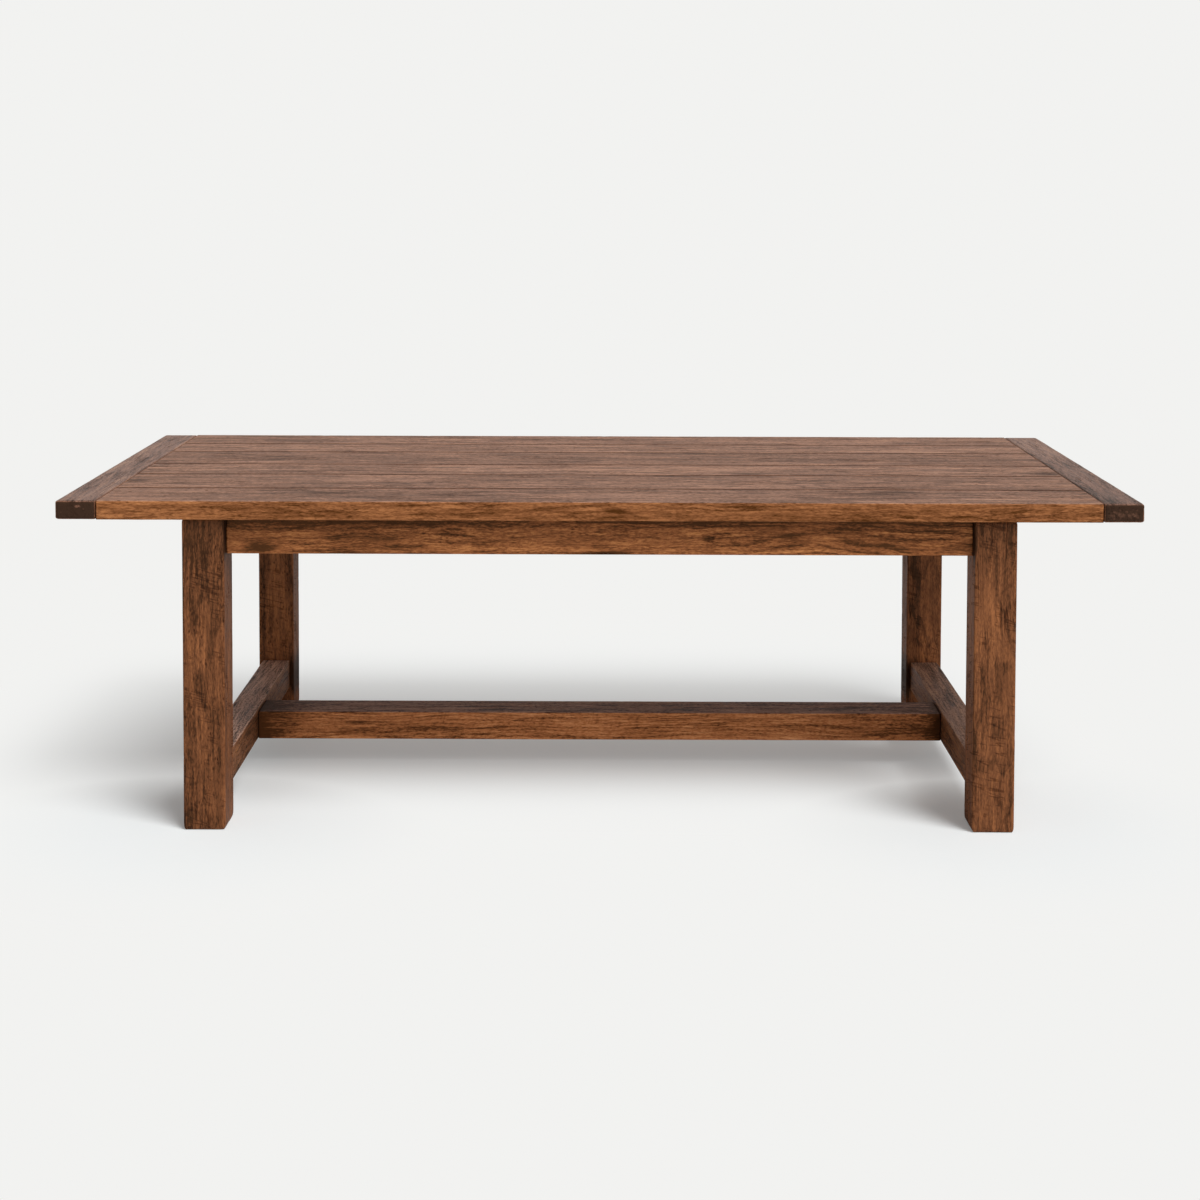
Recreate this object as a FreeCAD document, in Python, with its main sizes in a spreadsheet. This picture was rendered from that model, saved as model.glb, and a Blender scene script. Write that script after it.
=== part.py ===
import FreeCAD, Part
import math
import os

import Sketcher
from FreeCAD import Placement, Rotation, Vector

# Refectory table: six planks between breadboard ends, on four square legs with mortised aprons
# and an H of stretchers. Millimetres, +X along the table, +Y to the back, +Z up, and the origin
# on the floor under the middle of the top.

# Driving dimensions, in groups, as written into the spreadsheet
SIZES = {
    # Table
    "table_height": 762,
    "table_length": 2470,
    # Planks, numbered from the front edge to the back edge
    "top_thickness": 44,
    "plank_1_width": 181,
    "plank_2_width": 202,
    "plank_3_width": 160,
    "plank_4_width": 210,
    "plank_5_width": 147,
    "plank_6_width": 164.5,
    "seam_gap": 0.5,
    "seam_arris": 1.5,
    "outer_arris": 3,
    "edge_tongue_thickness": 10,
    "edge_tongue_depth": 9,
    # Breadboard ends and the joint that carries them
    "breadboard_width": 93,
    "breadboard_corner": 6,
    "end_tongue_thickness": 14,
    "end_tongue_depth": 18,
    "end_tenon_depth": 60,
    "end_tenon_inset": 42,
    "end_groove_stop": 30,
    "end_peg_diameter": 10,
    "end_peg_setback": 36,
    "end_peg_cover": 8,
    "cross_grain_play": 3,
    # Legs
    "leg_side": 97,
    "leg_arris": 4,
    "foot_chamfer": 3,
    "end_overhang": 284,
    "side_overhang": 15,
    # Aprons
    "apron_height": 84,
    "apron_thickness": 28,
    "apron_setback": 24,
    "apron_arris": 2,
    "apron_tenon_thickness": 12,
    "apron_tenon_length": 44,
    "apron_tenon_shoulder": 15,
    # Stretchers
    "stretcher_clearance": 70,
    "stretcher_arris": 3,
    "side_stretcher_width": 74,
    "side_stretcher_height": 77,
    "side_tenon_thickness": 26,
    "side_tenon_length": 50,
    "side_tenon_shoulder": 12,
    "centre_stretcher_width": 106,
    "centre_stretcher_height": 70,
    "centre_tenon_width": 66,
    "centre_tenon_length": 42,
    "centre_tenon_shoulder": 14,
    "centre_peg_diameter": 10,
    "centre_peg_spacing": 36,
    "centre_peg_setback": 18,
    "centre_peg_cover": 10,
    # Battens under the top, each held in the planks by a sliding dovetail
    "batten_width": 60,
    "batten_drop": 34,
    "batten_arris": 3,
    "batten_end_gap": 12,
    "dovetail_neck": 28,
    "dovetail_flare": 4,
    "dovetail_depth": 12,
    # Buttons that hold the top down, and their groove in the aprons
    "button_groove_drop": 12,
    "button_groove_width": 8,
    "button_groove_depth": 7,
    "button_length": 44,
    "button_reach": 34,
    "button_tongue_depth": 5,
    # Corner blocks
    "corner_block_height": 56,
    "corner_block_thickness": 30,
    "corner_block_drop": 14,
    # Screws, their lengths measured under the head
    "screw_diameter": 5,
    "screw_head_diameter": 10,
    "screw_head_height": 3,
    "button_screw_length": 34,
    "block_screw_length": 34,
    "block_screw_seat": 12,
    # Clearances and the overrun of cuts
    "tenon_clearance": 0.2,
    "mortise_end_clearance": 2,
    "block_clearance": 1,
    "peg_clearance": 0.05,
    "screw_clearance": 0.1,
    "overrun": 5,
}

# Places of the buttons along the half span of a long apron, as shares of it
BUTTON_PLACE_SHARES = (-0.75, -0.25, 0.25, 0.75)
# Places of the battens along the same half span
BATTEN_PLACE_SHARES = (-0.5, 0, 0.5)
# Place of a button's screw, as a share of the button's reach from the apron
BUTTON_SCREW_SHARE = 0.6
# Diagonal of a square, as a share of its side
DIAGONAL_SHARE = math.sqrt(2)
# Corners of one half of an eight-sided peg, and of the whole, as shares of its radius
SIDE_SHARE = 1 / DIAGONAL_SHARE
PEG_HALF = ((1, 0), (SIDE_SHARE, SIDE_SHARE), (0, 1), (-SIDE_SHARE, SIDE_SHARE), (-1, 0))
PEG_SHARES = PEG_HALF[:-1] + tuple((-across, -up) for across, up in PEG_HALF[:-1])

PLANK_COUNT = 6
# A button on each end apron sits under this plank
END_BUTTON_PLANK = 3

doc = FreeCAD.newDocument("refectory_table")
sheet = doc.addObject("Spreadsheet::Sheet", "sizes")
for row, (alias, number) in enumerate(SIZES.items(), start=1):
    sheet.set(f"A{row}", alias)
    sheet.set(f"B{row}", str(number))
    sheet.setAlias(f"B{row}", alias)
doc.recompute()


class Size:
    """A length written as a spreadsheet expression: sums of sizes stay bound to the sheet."""

    def __init__(self, text):
        self.text = text

    def __add__(self, other):
        return Size(f"({self.text} + {text_of(other)})")

    def __radd__(self, other):
        return Size(f"({text_of(other)} + {self.text})")

    def __sub__(self, other):
        return Size(f"({self.text} - {text_of(other)})")

    def __mul__(self, share):
        return Size(f"({self.text} * {share})")

    def __truediv__(self, share):
        return Size(f"({self.text} / {share})")

    def __neg__(self):
        return Size(f"(-1 * {self.text})")


def text_of(length):
    return length.text if isinstance(length, Size) else str(length)


def value(length):
    return float(sheet.evalExpression(text_of(length)))


def size(alias):
    return Size(f"sizes.{alias}")


# Derived places
top_underside = size("table_height") - size("top_thickness")
half_length = size("table_length") / 2
plank_half_span = half_length - size("breadboard_width")
plank_widths = [size(f"plank_{number}_width") for number in range(1, PLANK_COUNT + 1)]
table_width = plank_widths[0]
for width in plank_widths[1:]:
    table_width = table_width + size("seam_gap") + width
half_width = table_width / 2

plank_fronts = [-half_width]
for width in plank_widths[:-1]:
    plank_fronts.append(plank_fronts[-1] + width + size("seam_gap"))
plank_middles = [front + width / 2 for front, width in zip(plank_fronts, plank_widths)]

leg_outer_x = half_length - size("end_overhang")
leg_outer_y = half_width - size("side_overhang")
long_half_span = leg_outer_x - size("leg_side")
end_half_span = leg_outer_y - size("leg_side")
apron_inner = size("apron_setback") + size("apron_thickness")
apron_middle = size("apron_setback") + size("apron_thickness") / 2
apron_underside = top_underside - size("apron_height")
batten_places = [long_half_span * share for share in BATTEN_PLACE_SHARES]
batten_half_span = leg_outer_y - apron_inner - size("batten_end_gap")
button_places = [long_half_span * share for share in BUTTON_PLACE_SHARES]
button_screw_inset = size("button_reach") * BUTTON_SCREW_SHARE
side_stretcher_x = leg_outer_x - size("leg_side") / 2
centre_half_span = side_stretcher_x - size("side_stretcher_width") / 2
block_near = size("leg_side") * 2 + size("block_clearance")
block_far = block_near + size("corner_block_thickness") * DIAGONAL_SHARE
block_screw_place = (block_near + block_far) / 2 - apron_inner
block_underside = top_underside - size("corner_block_drop") - size("corner_block_height")
block_screw_rise = size("corner_block_height") / 2
screw_hole_radius = size("screw_diameter") / 2 + size("screw_clearance")
head_hole_radius = size("screw_head_diameter") / 2 + size("screw_clearance")
button_tongue_top = size("button_groove_drop") + size("tenon_clearance")
button_height = size("button_groove_drop") + size("button_groove_width") - size("tenon_clearance")
button_screw_bite = size("button_screw_length") - button_height
block_screw_bite = size("block_screw_length") - size("block_screw_seat")


# Whether the normal of each origin plane runs with (+1) or against (-1) the axis that it crosses
PLANE_AXES = {"XY_Plane": 1, "XZ_Plane": -1, "YZ_Plane": 1}


def new_body(label, place, turn=0):
    """A body that stands at place, turned about the upright axis by turn degrees."""
    body = doc.addObject("PartDesign::Body", label)
    body.Label = label
    body.Placement = Placement(Vector(0, 0, 0), Rotation(Vector(0, 0, 1), turn))
    for axis, length in zip("xyz", place):
        body.setExpression(f"Placement.Base.{axis}", text_of(length))
    return body


def new_sketch(body, name, role, height=None):
    """A sketch on one of the body's origin planes, moved by height along that plane's axis."""
    plane = next(item for item in body.Origin.OriginFeatures if item.Role == role)
    sketch = body.newObject("Sketcher::SketchObject", f"{body.Label}_{name}")
    sketch.AttachmentSupport = (plane, [""])
    sketch.MapMode = "FlatFace"
    if height is not None:
        sketch.setExpression("AttachmentOffset.Base.z", text_of(height * PLANE_AXES[role]))
    sketch.Visibility = False
    return sketch


def pin_point(sketch, geometry, position, point):
    """Hold one point of the sketch at two lengths from the sketch's origin."""
    for kind, length in zip(("DistanceX", "DistanceY"), point):
        number = value(length)
        index = sketch.addConstraint(Sketcher.Constraint(kind, -1, 1, geometry, position, number))
        sketch.setExpression(f"Constraints[{index}]", text_of(length))


def draw_outline(sketch, points):
    """A closed outline of straight lines through the points."""
    corners = [Vector(value(x), value(y), 0) for x, y in points]
    first = sketch.GeometryCount
    for corner, following in zip(corners, corners[1:] + corners[:1]):
        sketch.addGeometry(Part.LineSegment(corner, following))
    count = len(points)
    for index in range(count):
        line = first + index
        following = first + (index + 1) % count
        sketch.addConstraint(Sketcher.Constraint("Coincident", line, 2, following, 1))
    for index, point in enumerate(points):
        pin_point(sketch, first + index, 1, point)


def draw_rectangle(sketch, low, high):
    draw_outline(sketch, [low, (high[0], low[1]), high, (low[0], high[1])])


def draw_peg_hole(sketch, centre, radius, half_travel=None):
    """A hole with the flats of a peg, drawn out along the second axis where it has travel."""
    x, y = centre
    if half_travel is None:
        points = [(x + radius * across, y + radius * up) for across, up in PEG_SHARES]
    else:
        upper = [(x + radius * across, y + radius * up + half_travel) for across, up in PEG_HALF]
        lower = [(x - radius * across, y - radius * up - half_travel) for across, up in PEG_HALF]
        points = upper + lower
    draw_outline(sketch, points)


def feature_direction(sketch, toward):
    """Whether a feature on this sketch runs against its plane's normal to go toward +1 or -1."""
    role = sketch.AttachmentSupport[0][0].Role
    return toward * PLANE_AXES[role] < 0


def add_pad(body, name, sketch, length, toward=0):
    """Material of the given length: toward +1 or -1 along the plane's axis, or 0 for both ways."""
    pad = body.newObject("PartDesign::Pad", f"{body.Label}_{name}")
    pad.Profile = sketch
    pad.setExpression("Length", text_of(length))
    if toward == 0:
        pad.SideType = "Symmetric"
    else:
        pad.Reversed = feature_direction(sketch, toward)
    doc.recompute()
    return pad


def add_pocket(body, name, sketch, depth=None, toward=0):
    """A cut of the given depth toward +1 or -1, or through the whole piece when no depth is given."""
    before = body.Shape.Volume
    pocket = body.newObject("PartDesign::Pocket", f"{body.Label}_{name}")
    pocket.Profile = sketch
    if depth is None:
        pocket.SideType = "Symmetric"
        pocket.Type = "ThroughAll"
    else:
        pocket.setExpression("Length", text_of(depth))
        pocket.Reversed = not feature_direction(sketch, toward)
    doc.recompute()
    if not body.Shape.Volume < before:
        raise RuntimeError(f"{pocket.Name} removes nothing")
    return pocket


def edges_where(shape, test):
    """Names of the straight edges whose two ends pass the test."""
    names = []
    for index, edge in enumerate(shape.Edges, start=1):
        if isinstance(edge.Curve, (Part.Line, Part.LineSegment)):
            start, end = edge.Vertexes[0].Point, edge.Vertexes[-1].Point
            if test(start, end):
                names.append(f"Edge{index}")
    return names


def round_edges(body, name, radius, test, kind="PartDesign::Fillet"):
    """Round, or chamfer, the edges of the body's last feature that pass the test."""
    base = body.Tip
    names = edges_where(base.Shape, test)
    if not names:
        raise RuntimeError(f"{body.Label}: no edge for {name}")
    rounding = body.newObject(kind, f"{body.Label}_{name}")
    rounding.Base = (base, names)
    rounding.setExpression("Radius" if kind.endswith("Fillet") else "Size", text_of(radius))
    doc.recompute()
    return rounding


def same(first, second):
    """Whether two computed places are one place: closer than a tenth of the finest clearance."""
    return abs(first - second) < value(size("peg_clearance")) / 10


def along(axis):
    """A test for edges that run along one axis."""
    others = [name for name in "xyz" if name != axis]
    return lambda start, end: all(same(getattr(start, o), getattr(end, o)) for o in others)


# Planks
def make_plank(index):
    """One plank: tongue on its back edge, groove in its front edge, tongue and tenon on each end."""
    width = plank_widths[index]
    first, last = index == 0, index == PLANK_COUNT - 1
    half_thickness = size("top_thickness") / 2
    middle_height = size("table_height") - half_thickness
    body = new_body(f"plank_{index + 1}", (0, plank_fronts[index], middle_height))

    tongue = size("edge_tongue_thickness") / 2
    groove = tongue + size("tenon_clearance")
    groove_depth = size("edge_tongue_depth") + size("mortise_end_clearance")
    tongue_depth = size("edge_tongue_depth") + size("seam_gap")
    section = [(0, -half_thickness), (width, -half_thickness)]
    if not last:
        section += [(width, -tongue), (width + tongue_depth, -tongue)]
        section += [(width + tongue_depth, tongue), (width, tongue)]
    section += [(width, half_thickness), (0, half_thickness)]
    if not first:
        section += [(0, groove), (groove_depth, groove), (groove_depth, -groove), (0, -groove)]
    profile = new_sketch(body, "section", "YZ_Plane")
    draw_outline(profile, section)
    half_overall = plank_half_span + size("end_tenon_depth")
    add_pad(body, "blank", profile, half_overall * 2)
    round_plank(body, width, half_thickness, first, last)

    # The cheeks of the end tongue
    beyond = half_overall + size("overrun")
    half_tongue = size("end_tongue_thickness") / 2
    over = half_thickness + size("overrun")
    cheeks = new_sketch(body, "cheeks", "XZ_Plane")
    for low_x, high_x in ((plank_half_span, beyond), (-beyond, -plank_half_span)):
        draw_rectangle(cheeks, (low_x, half_tongue), (high_x, over))
        draw_rectangle(cheeks, (low_x, -over), (high_x, -half_tongue))
    add_pocket(body, "end_cheeks", cheeks)

    # The tongue is cut back beside the tenon, and stops short of the table's edges
    front_stop = size("end_groove_stop") if first else groove_depth
    back_stop = size("end_groove_stop") if last else size("seam_arris")
    shoulder = plank_half_span + size("end_tongue_depth")
    outside = size("edge_tongue_depth") + size("overrun")
    haunches = new_sketch(body, "haunches", "XY_Plane")
    front = (-outside, front_stop, size("end_tenon_inset"))
    back = (width + outside, width - back_stop, width - size("end_tenon_inset"))
    for outer, stop, inset in (front, back):
        for sign in (1, -1):
            near, step, far = (place * sign for place in (plank_half_span, shoulder, beyond))
            corner = [(near, outer), (near, stop), (step, stop)]
            corner += [(step, inset), (far, inset), (far, outer)]
            draw_outline(haunches, corner)
    add_pocket(body, "end_haunches", haunches)

    # Slots for the pegs, which let the plank shrink and swell across its width
    slots = new_sketch(body, "slots", "XY_Plane")
    peg_radius = size("end_peg_diameter") / 2 + size("peg_clearance")
    for sign in (1, -1):
        place = (plank_half_span + size("end_peg_setback")) * sign
        draw_peg_hole(slots, (place, width / 2), peg_radius, size("cross_grain_play"))
    add_pocket(body, "peg_slots", slots)
    cut_dovetails(body, index, width, half_thickness)
    drill_plank(body, index, half_thickness)


def round_plank(body, width, half_thickness, first, last):
    """Worn arrises along the seams, and rounder ones along the table's own edges."""
    top, front, back = value(half_thickness), 0, value(width)
    outer = [place for place, present in ((front, first), (back, last)) if present]
    seams = [place for place in (front, back) if place not in outer]
    lengthwise = along("x")

    def seam_edge(start, end):
        at_seam = any(same(start.y, place) for place in seams)
        return lengthwise(start, end) and same(start.z, top) and at_seam

    def outer_edge(start, end):
        at_edge = any(same(start.y, place) for place in outer)
        return lengthwise(start, end) and same(abs(start.z), top) and at_edge

    round_edges(body, "seam_rounding", size("seam_arris"), seam_edge)
    if outer:
        round_edges(body, "edge_rounding", size("outer_arris"), outer_edge)


def cut_dovetails(body, index, width, half_thickness):
    """Dovetail grooves for the battens, stopped in the first and the last plank."""
    first, last = index == 0, index == PLANK_COUNT - 1
    outside = width + size("edge_tongue_depth") + size("overrun")
    end_stop = batten_half_span + size("mortise_end_clearance")
    if first:
        start, toward, depth = outside, -1, outside - (-end_stop - plank_fronts[index])
    elif last:
        start, toward, depth = -size("overrun"), 1, end_stop - plank_fronts[index] + size("overrun")
    else:
        start, toward, depth = outside, -1, outside + size("overrun")
    grooves = new_sketch(body, "dovetail_mouths", "XZ_Plane", start)
    for place in batten_places:
        draw_dovetail(grooves, place, -half_thickness, size("tenon_clearance"))
    add_pocket(body, "dovetails", grooves, depth, toward)


def draw_dovetail(sketch, place, mouth, clearance):
    """A dovetail's section that widens upward from its neck at the height of the mouth."""
    neck = size("dovetail_neck") / 2 + clearance
    top = neck + size("dovetail_flare")
    rise = mouth + size("dovetail_depth") + clearance
    low = mouth - size("overrun")
    points = [(place - neck, low), (place + neck, low), (place + neck, mouth)]
    points += [(place + top, rise), (place - top, rise), (place - neck, mouth)]
    draw_outline(sketch, points)


def drill_plank(body, index, half_thickness):
    """Blind holes in the plank's underside for the screws of the buttons."""
    places = [
        (x, y - plank_fronts[index]) for x, y, plank, _ in button_layout if plank == index + 1
    ]
    if not places:
        return
    holes = new_sketch(body, "button_holes", "XY_Plane", -half_thickness)
    for place in places:
        draw_peg_hole(holes, place, screw_hole_radius)
    depth = button_screw_bite + size("screw_clearance")
    add_pocket(body, "button_screw_holes", holes, depth, toward=1)


# Where each button's screw stands: x, y, the plank above it, and the turn of the button
long_row = leg_outer_y - apron_inner - button_screw_inset
end_row = leg_outer_x - apron_inner - button_screw_inset
button_layout = []
for place in button_places:
    button_layout.append((place, -long_row, 1, 0))
    button_layout.append((place, long_row, PLANK_COUNT, 180))
end_button_y = plank_middles[END_BUTTON_PLANK - 1]
button_layout.append((end_row, end_button_y, END_BUTTON_PLANK, 90))
button_layout.append((-end_row, end_button_y, END_BUTTON_PLANK, 270))

for index in range(PLANK_COUNT):
    make_plank(index)


# Breadboard ends
def make_breadboard(label, side):
    """One breadboard end, side +1 or -1 along the table: stopped groove, mortises and peg holes."""
    half_thickness = size("top_thickness") / 2
    middle_height = size("table_height") - half_thickness
    body = new_body(label, (plank_half_span * side, 0, middle_height))
    outline = new_sketch(body, "outline", "XY_Plane")
    inner, outer = size("seam_gap") * side, size("breadboard_width") * side
    low, high = (inner, outer) if side > 0 else (outer, inner)
    draw_rectangle(outline, (low, -half_width), (high, half_width))
    add_pad(body, "blank", outline, half_thickness * 2)

    outer_x, top = value(outer), value(half_thickness)
    upright, crosswise, lengthwise = along("z"), along("y"), along("x")
    round_edges(
        body, "corner_rounding", size("breadboard_corner"),
        lambda start, end: upright(start, end) and same(start.x, outer_x),
    )
    inner_x = value(inner)
    round_edges(
        body, "edge_bevel", size("outer_arris"),
        lambda start, end: same(abs(start.z), top) and (
            crosswise(start, end) and same(start.x, outer_x) or lengthwise(start, end)
        ), "PartDesign::Chamfer",
    )
    round_edges(
        body, "seam_rounding", size("seam_arris"),
        lambda start, end: crosswise(start, end) and same(start.x, inner_x) and same(start.z, top),
    )

    groove = new_sketch(body, "groove_mouth", "YZ_Plane")
    groove_half = size("end_tongue_thickness") / 2 + size("tenon_clearance")
    groove_end = half_width - size("end_groove_stop") + size("cross_grain_play")
    draw_rectangle(groove, (-groove_end, -groove_half), (groove_end, groove_half))
    groove_depth = size("end_tongue_depth") + size("mortise_end_clearance")
    add_pocket(body, "groove", groove, groove_depth, toward=side)

    mouths = new_sketch(body, "mortise_mouths", "YZ_Plane")
    for front, width in zip(plank_fronts, plank_widths):
        low_y = front + size("end_tenon_inset") - size("cross_grain_play")
        high_y = front + width - size("end_tenon_inset") + size("cross_grain_play")
        draw_rectangle(mouths, (low_y, -groove_half), (high_y, groove_half))
    mortise_depth = size("end_tenon_depth") + size("mortise_end_clearance")
    add_pocket(body, "mortises", mouths, mortise_depth, toward=side)

    holes = new_sketch(body, "peg_mouths", "XY_Plane", -half_thickness)
    peg_radius = size("end_peg_diameter") / 2 + size("peg_clearance")
    for middle in plank_middles:
        draw_peg_hole(holes, (size("end_peg_setback") * side, middle), peg_radius)
    add_pocket(body, "peg_holes", holes, size("top_thickness") - size("end_peg_cover"), toward=1)


make_breadboard("breadboard_left", -1)
make_breadboard("breadboard_right", 1)


# Legs
def make_leg(label, side_x, side_y):
    """One square leg, mortised for two aprons and a side stretcher."""
    half = size("leg_side") / 2
    place = (side_stretcher_x * side_x, (leg_outer_y - half) * side_y, 0)
    body = new_body(label, place)
    section = new_sketch(body, "section", "XY_Plane")
    draw_rectangle(section, (-half, -half), (half, half))
    add_pad(body, "blank", section, top_underside, toward=1)
    round_edges(body, "arris_rounding", size("leg_arris"), along("z"))
    round_edges(
        body, "foot_bevel", size("foot_chamfer"),
        lambda start, end: same(start.z, 0) and same(end.z, 0), "PartDesign::Chamfer",
    )

    apron_half = size("apron_tenon_thickness") / 2 + size("tenon_clearance")
    apron_low = apron_underside + size("apron_tenon_shoulder") - size("tenon_clearance")
    apron_high = top_underside - size("apron_tenon_shoulder") + size("tenon_clearance")
    apron_depth = size("apron_tenon_length") + size("mortise_end_clearance")
    apron_line = half - apron_middle
    long_mouth = new_sketch(body, "long_apron_mouth", "YZ_Plane", half * -side_x)
    middle = apron_line * side_y
    draw_rectangle(long_mouth, (middle - apron_half, apron_low), (middle + apron_half, apron_high))
    add_pocket(body, "long_apron_mortise", long_mouth, apron_depth, toward=side_x)
    end_mouth = new_sketch(body, "end_apron_mouth", "XZ_Plane", half * -side_y)
    middle = apron_line * side_x
    draw_rectangle(end_mouth, (middle - apron_half, apron_low), (middle + apron_half, apron_high))
    add_pocket(body, "end_apron_mortise", end_mouth, apron_depth, toward=side_y)

    rail_half = size("side_tenon_thickness") / 2 + size("tenon_clearance")
    rail_shoulder = size("side_tenon_shoulder") - size("tenon_clearance")
    rail_low = size("stretcher_clearance") + rail_shoulder
    rail_high = size("stretcher_clearance") + size("side_stretcher_height") - rail_shoulder
    rail_mouth = new_sketch(body, "stretcher_mouth", "XZ_Plane", half * -side_y)
    draw_rectangle(rail_mouth, (-rail_half, rail_low), (rail_half, rail_high))
    rail_depth = size("side_tenon_length") + size("mortise_end_clearance")
    add_pocket(body, "stretcher_mortise", rail_mouth, rail_depth, toward=side_y)


for name_y, side_y in (("front", -1), ("back", 1)):
    for name_x, side_x in (("left", -1), ("right", 1)):
        make_leg(f"leg_{name_y}_{name_x}", side_x, side_y)


# Rails: aprons and stretchers are all straight pieces with a tenon on each end
def make_rail(label, place, turn, half_span, height, thickness, tenon, arris):
    """A rail along its own x axis, underside at z 0, whose shoulders stand at its half span.

    tenon gives the length and thickness of the tenons, and their shoulders below and above.
    """
    length, tenon_thickness, below, above = tenon
    body = new_body(label, place, turn)
    overall = half_span + length
    side = new_sketch(body, "side", "XZ_Plane")
    draw_rectangle(side, (-overall, 0), (overall, height))
    add_pad(body, "blank", side, thickness)
    round_edges(body, "arris_rounding", arris, along("x"))

    beyond = overall + size("overrun")
    half_tenon = tenon_thickness / 2
    outside = thickness / 2 + size("overrun")
    cheeks = new_sketch(body, "cheeks", "XY_Plane")
    shoulders = new_sketch(body, "shoulders", "XZ_Plane")
    for low_x, high_x in ((half_span, beyond), (-beyond, -half_span)):
        draw_rectangle(cheeks, (low_x, half_tenon), (high_x, outside))
        draw_rectangle(cheeks, (low_x, -outside), (high_x, -half_tenon))
        draw_rectangle(shoulders, (low_x, -size("overrun")), (high_x, below))
        draw_rectangle(shoulders, (low_x, height - above), (high_x, height + size("overrun")))
    add_pocket(body, "tenon_cheeks", cheeks)
    add_pocket(body, "tenon_shoulders", shoulders)
    return body


# Aprons
def make_apron(label, place, turn, half_span):
    """An apron whose inner face looks along its own +y, with a groove and screw holes in it."""
    height, thickness = size("apron_height"), size("apron_thickness")
    tenon = (
        size("apron_tenon_length"), size("apron_tenon_thickness"),
        size("apron_tenon_shoulder"), size("apron_tenon_shoulder"),
    )
    arris = size("apron_arris")
    body = make_rail(label, place, turn, half_span, height, thickness, tenon, arris)
    face = thickness / 2

    groove_top = height - size("button_groove_drop")
    groove_bottom = groove_top - size("button_groove_width")
    groove = new_sketch(body, "groove_mouth", "XZ_Plane", face)
    draw_rectangle(groove, (-half_span, groove_bottom), (half_span, groove_top))
    add_pocket(body, "button_groove", groove, size("button_groove_depth"), toward=-1)

    holes = new_sketch(body, "block_holes", "XZ_Plane", face)
    block_foot = height - size("corner_block_drop") - size("corner_block_height")
    hole_place = half_span - (block_screw_place - size("leg_side"))
    for sign in (1, -1):
        draw_peg_hole(holes, (hole_place * sign, block_foot + block_screw_rise), screw_hole_radius)
    add_pocket(body, "block_screw_holes", holes, block_screw_bite + size("screw_clearance"), -1)


apron_y = leg_outer_y - apron_middle
apron_x = leg_outer_x - apron_middle
make_apron("apron_front", (0, -apron_y, apron_underside), 0, long_half_span)
make_apron("apron_back", (0, apron_y, apron_underside), 180, long_half_span)
make_apron("apron_right", (apron_x, 0, apron_underside), 90, end_half_span)
make_apron("apron_left", (-apron_x, 0, apron_underside), 270, end_half_span)


# Stretchers
def make_side_stretcher(label, side_x):
    """A stretcher between two legs, mortised on its inner face for the centre stretcher."""
    height, width = size("side_stretcher_height"), size("side_stretcher_width")
    tenon = (
        size("side_tenon_length"), size("side_tenon_thickness"),
        size("side_tenon_shoulder"), size("side_tenon_shoulder"),
    )
    place = (side_stretcher_x * side_x, 0, size("stretcher_clearance"))
    turn = 90 * side_x
    arris = size("stretcher_arris")
    body = make_rail(label, place, turn, end_half_span, height, width, tenon, arris)
    mouth = new_sketch(body, "centre_mouth", "XZ_Plane", width / 2)
    reach = size("centre_tenon_width") / 2 + size("tenon_clearance")
    low_z = size("centre_tenon_shoulder") - size("tenon_clearance")
    high_z = size("centre_stretcher_height") - low_z
    draw_rectangle(mouth, (-reach, low_z), (reach, high_z))
    depth = size("centre_tenon_length") + size("mortise_end_clearance")
    add_pocket(body, "centre_mortise", mouth, depth, toward=-1)
    holes = new_sketch(body, "peg_mouths", "XY_Plane")
    peg_radius = size("centre_peg_diameter") / 2 + size("peg_clearance")
    peg_y = width / 2 - size("centre_peg_setback")
    for half in (-0.5, 0.5):
        draw_peg_hole(holes, (size("centre_peg_spacing") * half, peg_y), peg_radius)
    add_pocket(body, "peg_holes", holes, height - size("centre_peg_cover"), toward=1)


def make_centre_stretcher():
    """The long stretcher of the H, tenoned into both side stretchers."""
    height, width = size("centre_stretcher_height"), size("centre_stretcher_width")
    tenon = (
        size("centre_tenon_length"), size("centre_tenon_width"),
        size("centre_tenon_shoulder"), size("centre_tenon_shoulder"),
    )
    place = (0, 0, size("stretcher_clearance"))
    arris = size("stretcher_arris")
    label = "centre_stretcher"
    body = make_rail(label, place, 0, centre_half_span, height, width, tenon, arris)
    holes = new_sketch(body, "peg_places", "XY_Plane")
    peg_radius = size("centre_peg_diameter") / 2 + size("peg_clearance")
    peg_x = centre_half_span + size("centre_peg_setback")
    for sign in (1, -1):
        for half in (-0.5, 0.5):
            draw_peg_hole(holes, (peg_x * sign, size("centre_peg_spacing") * half), peg_radius)
    add_pocket(body, "peg_holes", holes)


make_side_stretcher("side_stretcher_left", -1)
make_side_stretcher("side_stretcher_right", 1)
make_centre_stretcher()


# Battens
def make_batten(label, place_x):
    """A batten across the underside of the planks, with a dovetail along its top."""
    body = new_body(label, (place_x, 0, top_underside))
    half, drop = size("batten_width") / 2, size("batten_drop")
    neck = size("dovetail_neck") / 2
    top = neck + size("dovetail_flare")
    section = new_sketch(body, "section", "XZ_Plane")
    points = [(-half, -drop), (half, -drop), (half, 0), (neck, 0), (top, size("dovetail_depth"))]
    points += [(-top, size("dovetail_depth")), (-neck, 0), (-half, 0)]
    draw_outline(section, points)
    add_pad(body, "blank", section, batten_half_span * 2)
    low = -value(drop)
    crosswise = along("y")
    round_edges(
        body, "arris_rounding", size("batten_arris"),
        lambda start, end: crosswise(start, end) and same(start.z, low),
    )


for name, place in zip(("left", "middle", "right"), batten_places):
    make_batten(f"top_batten_{name}", place)


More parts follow.
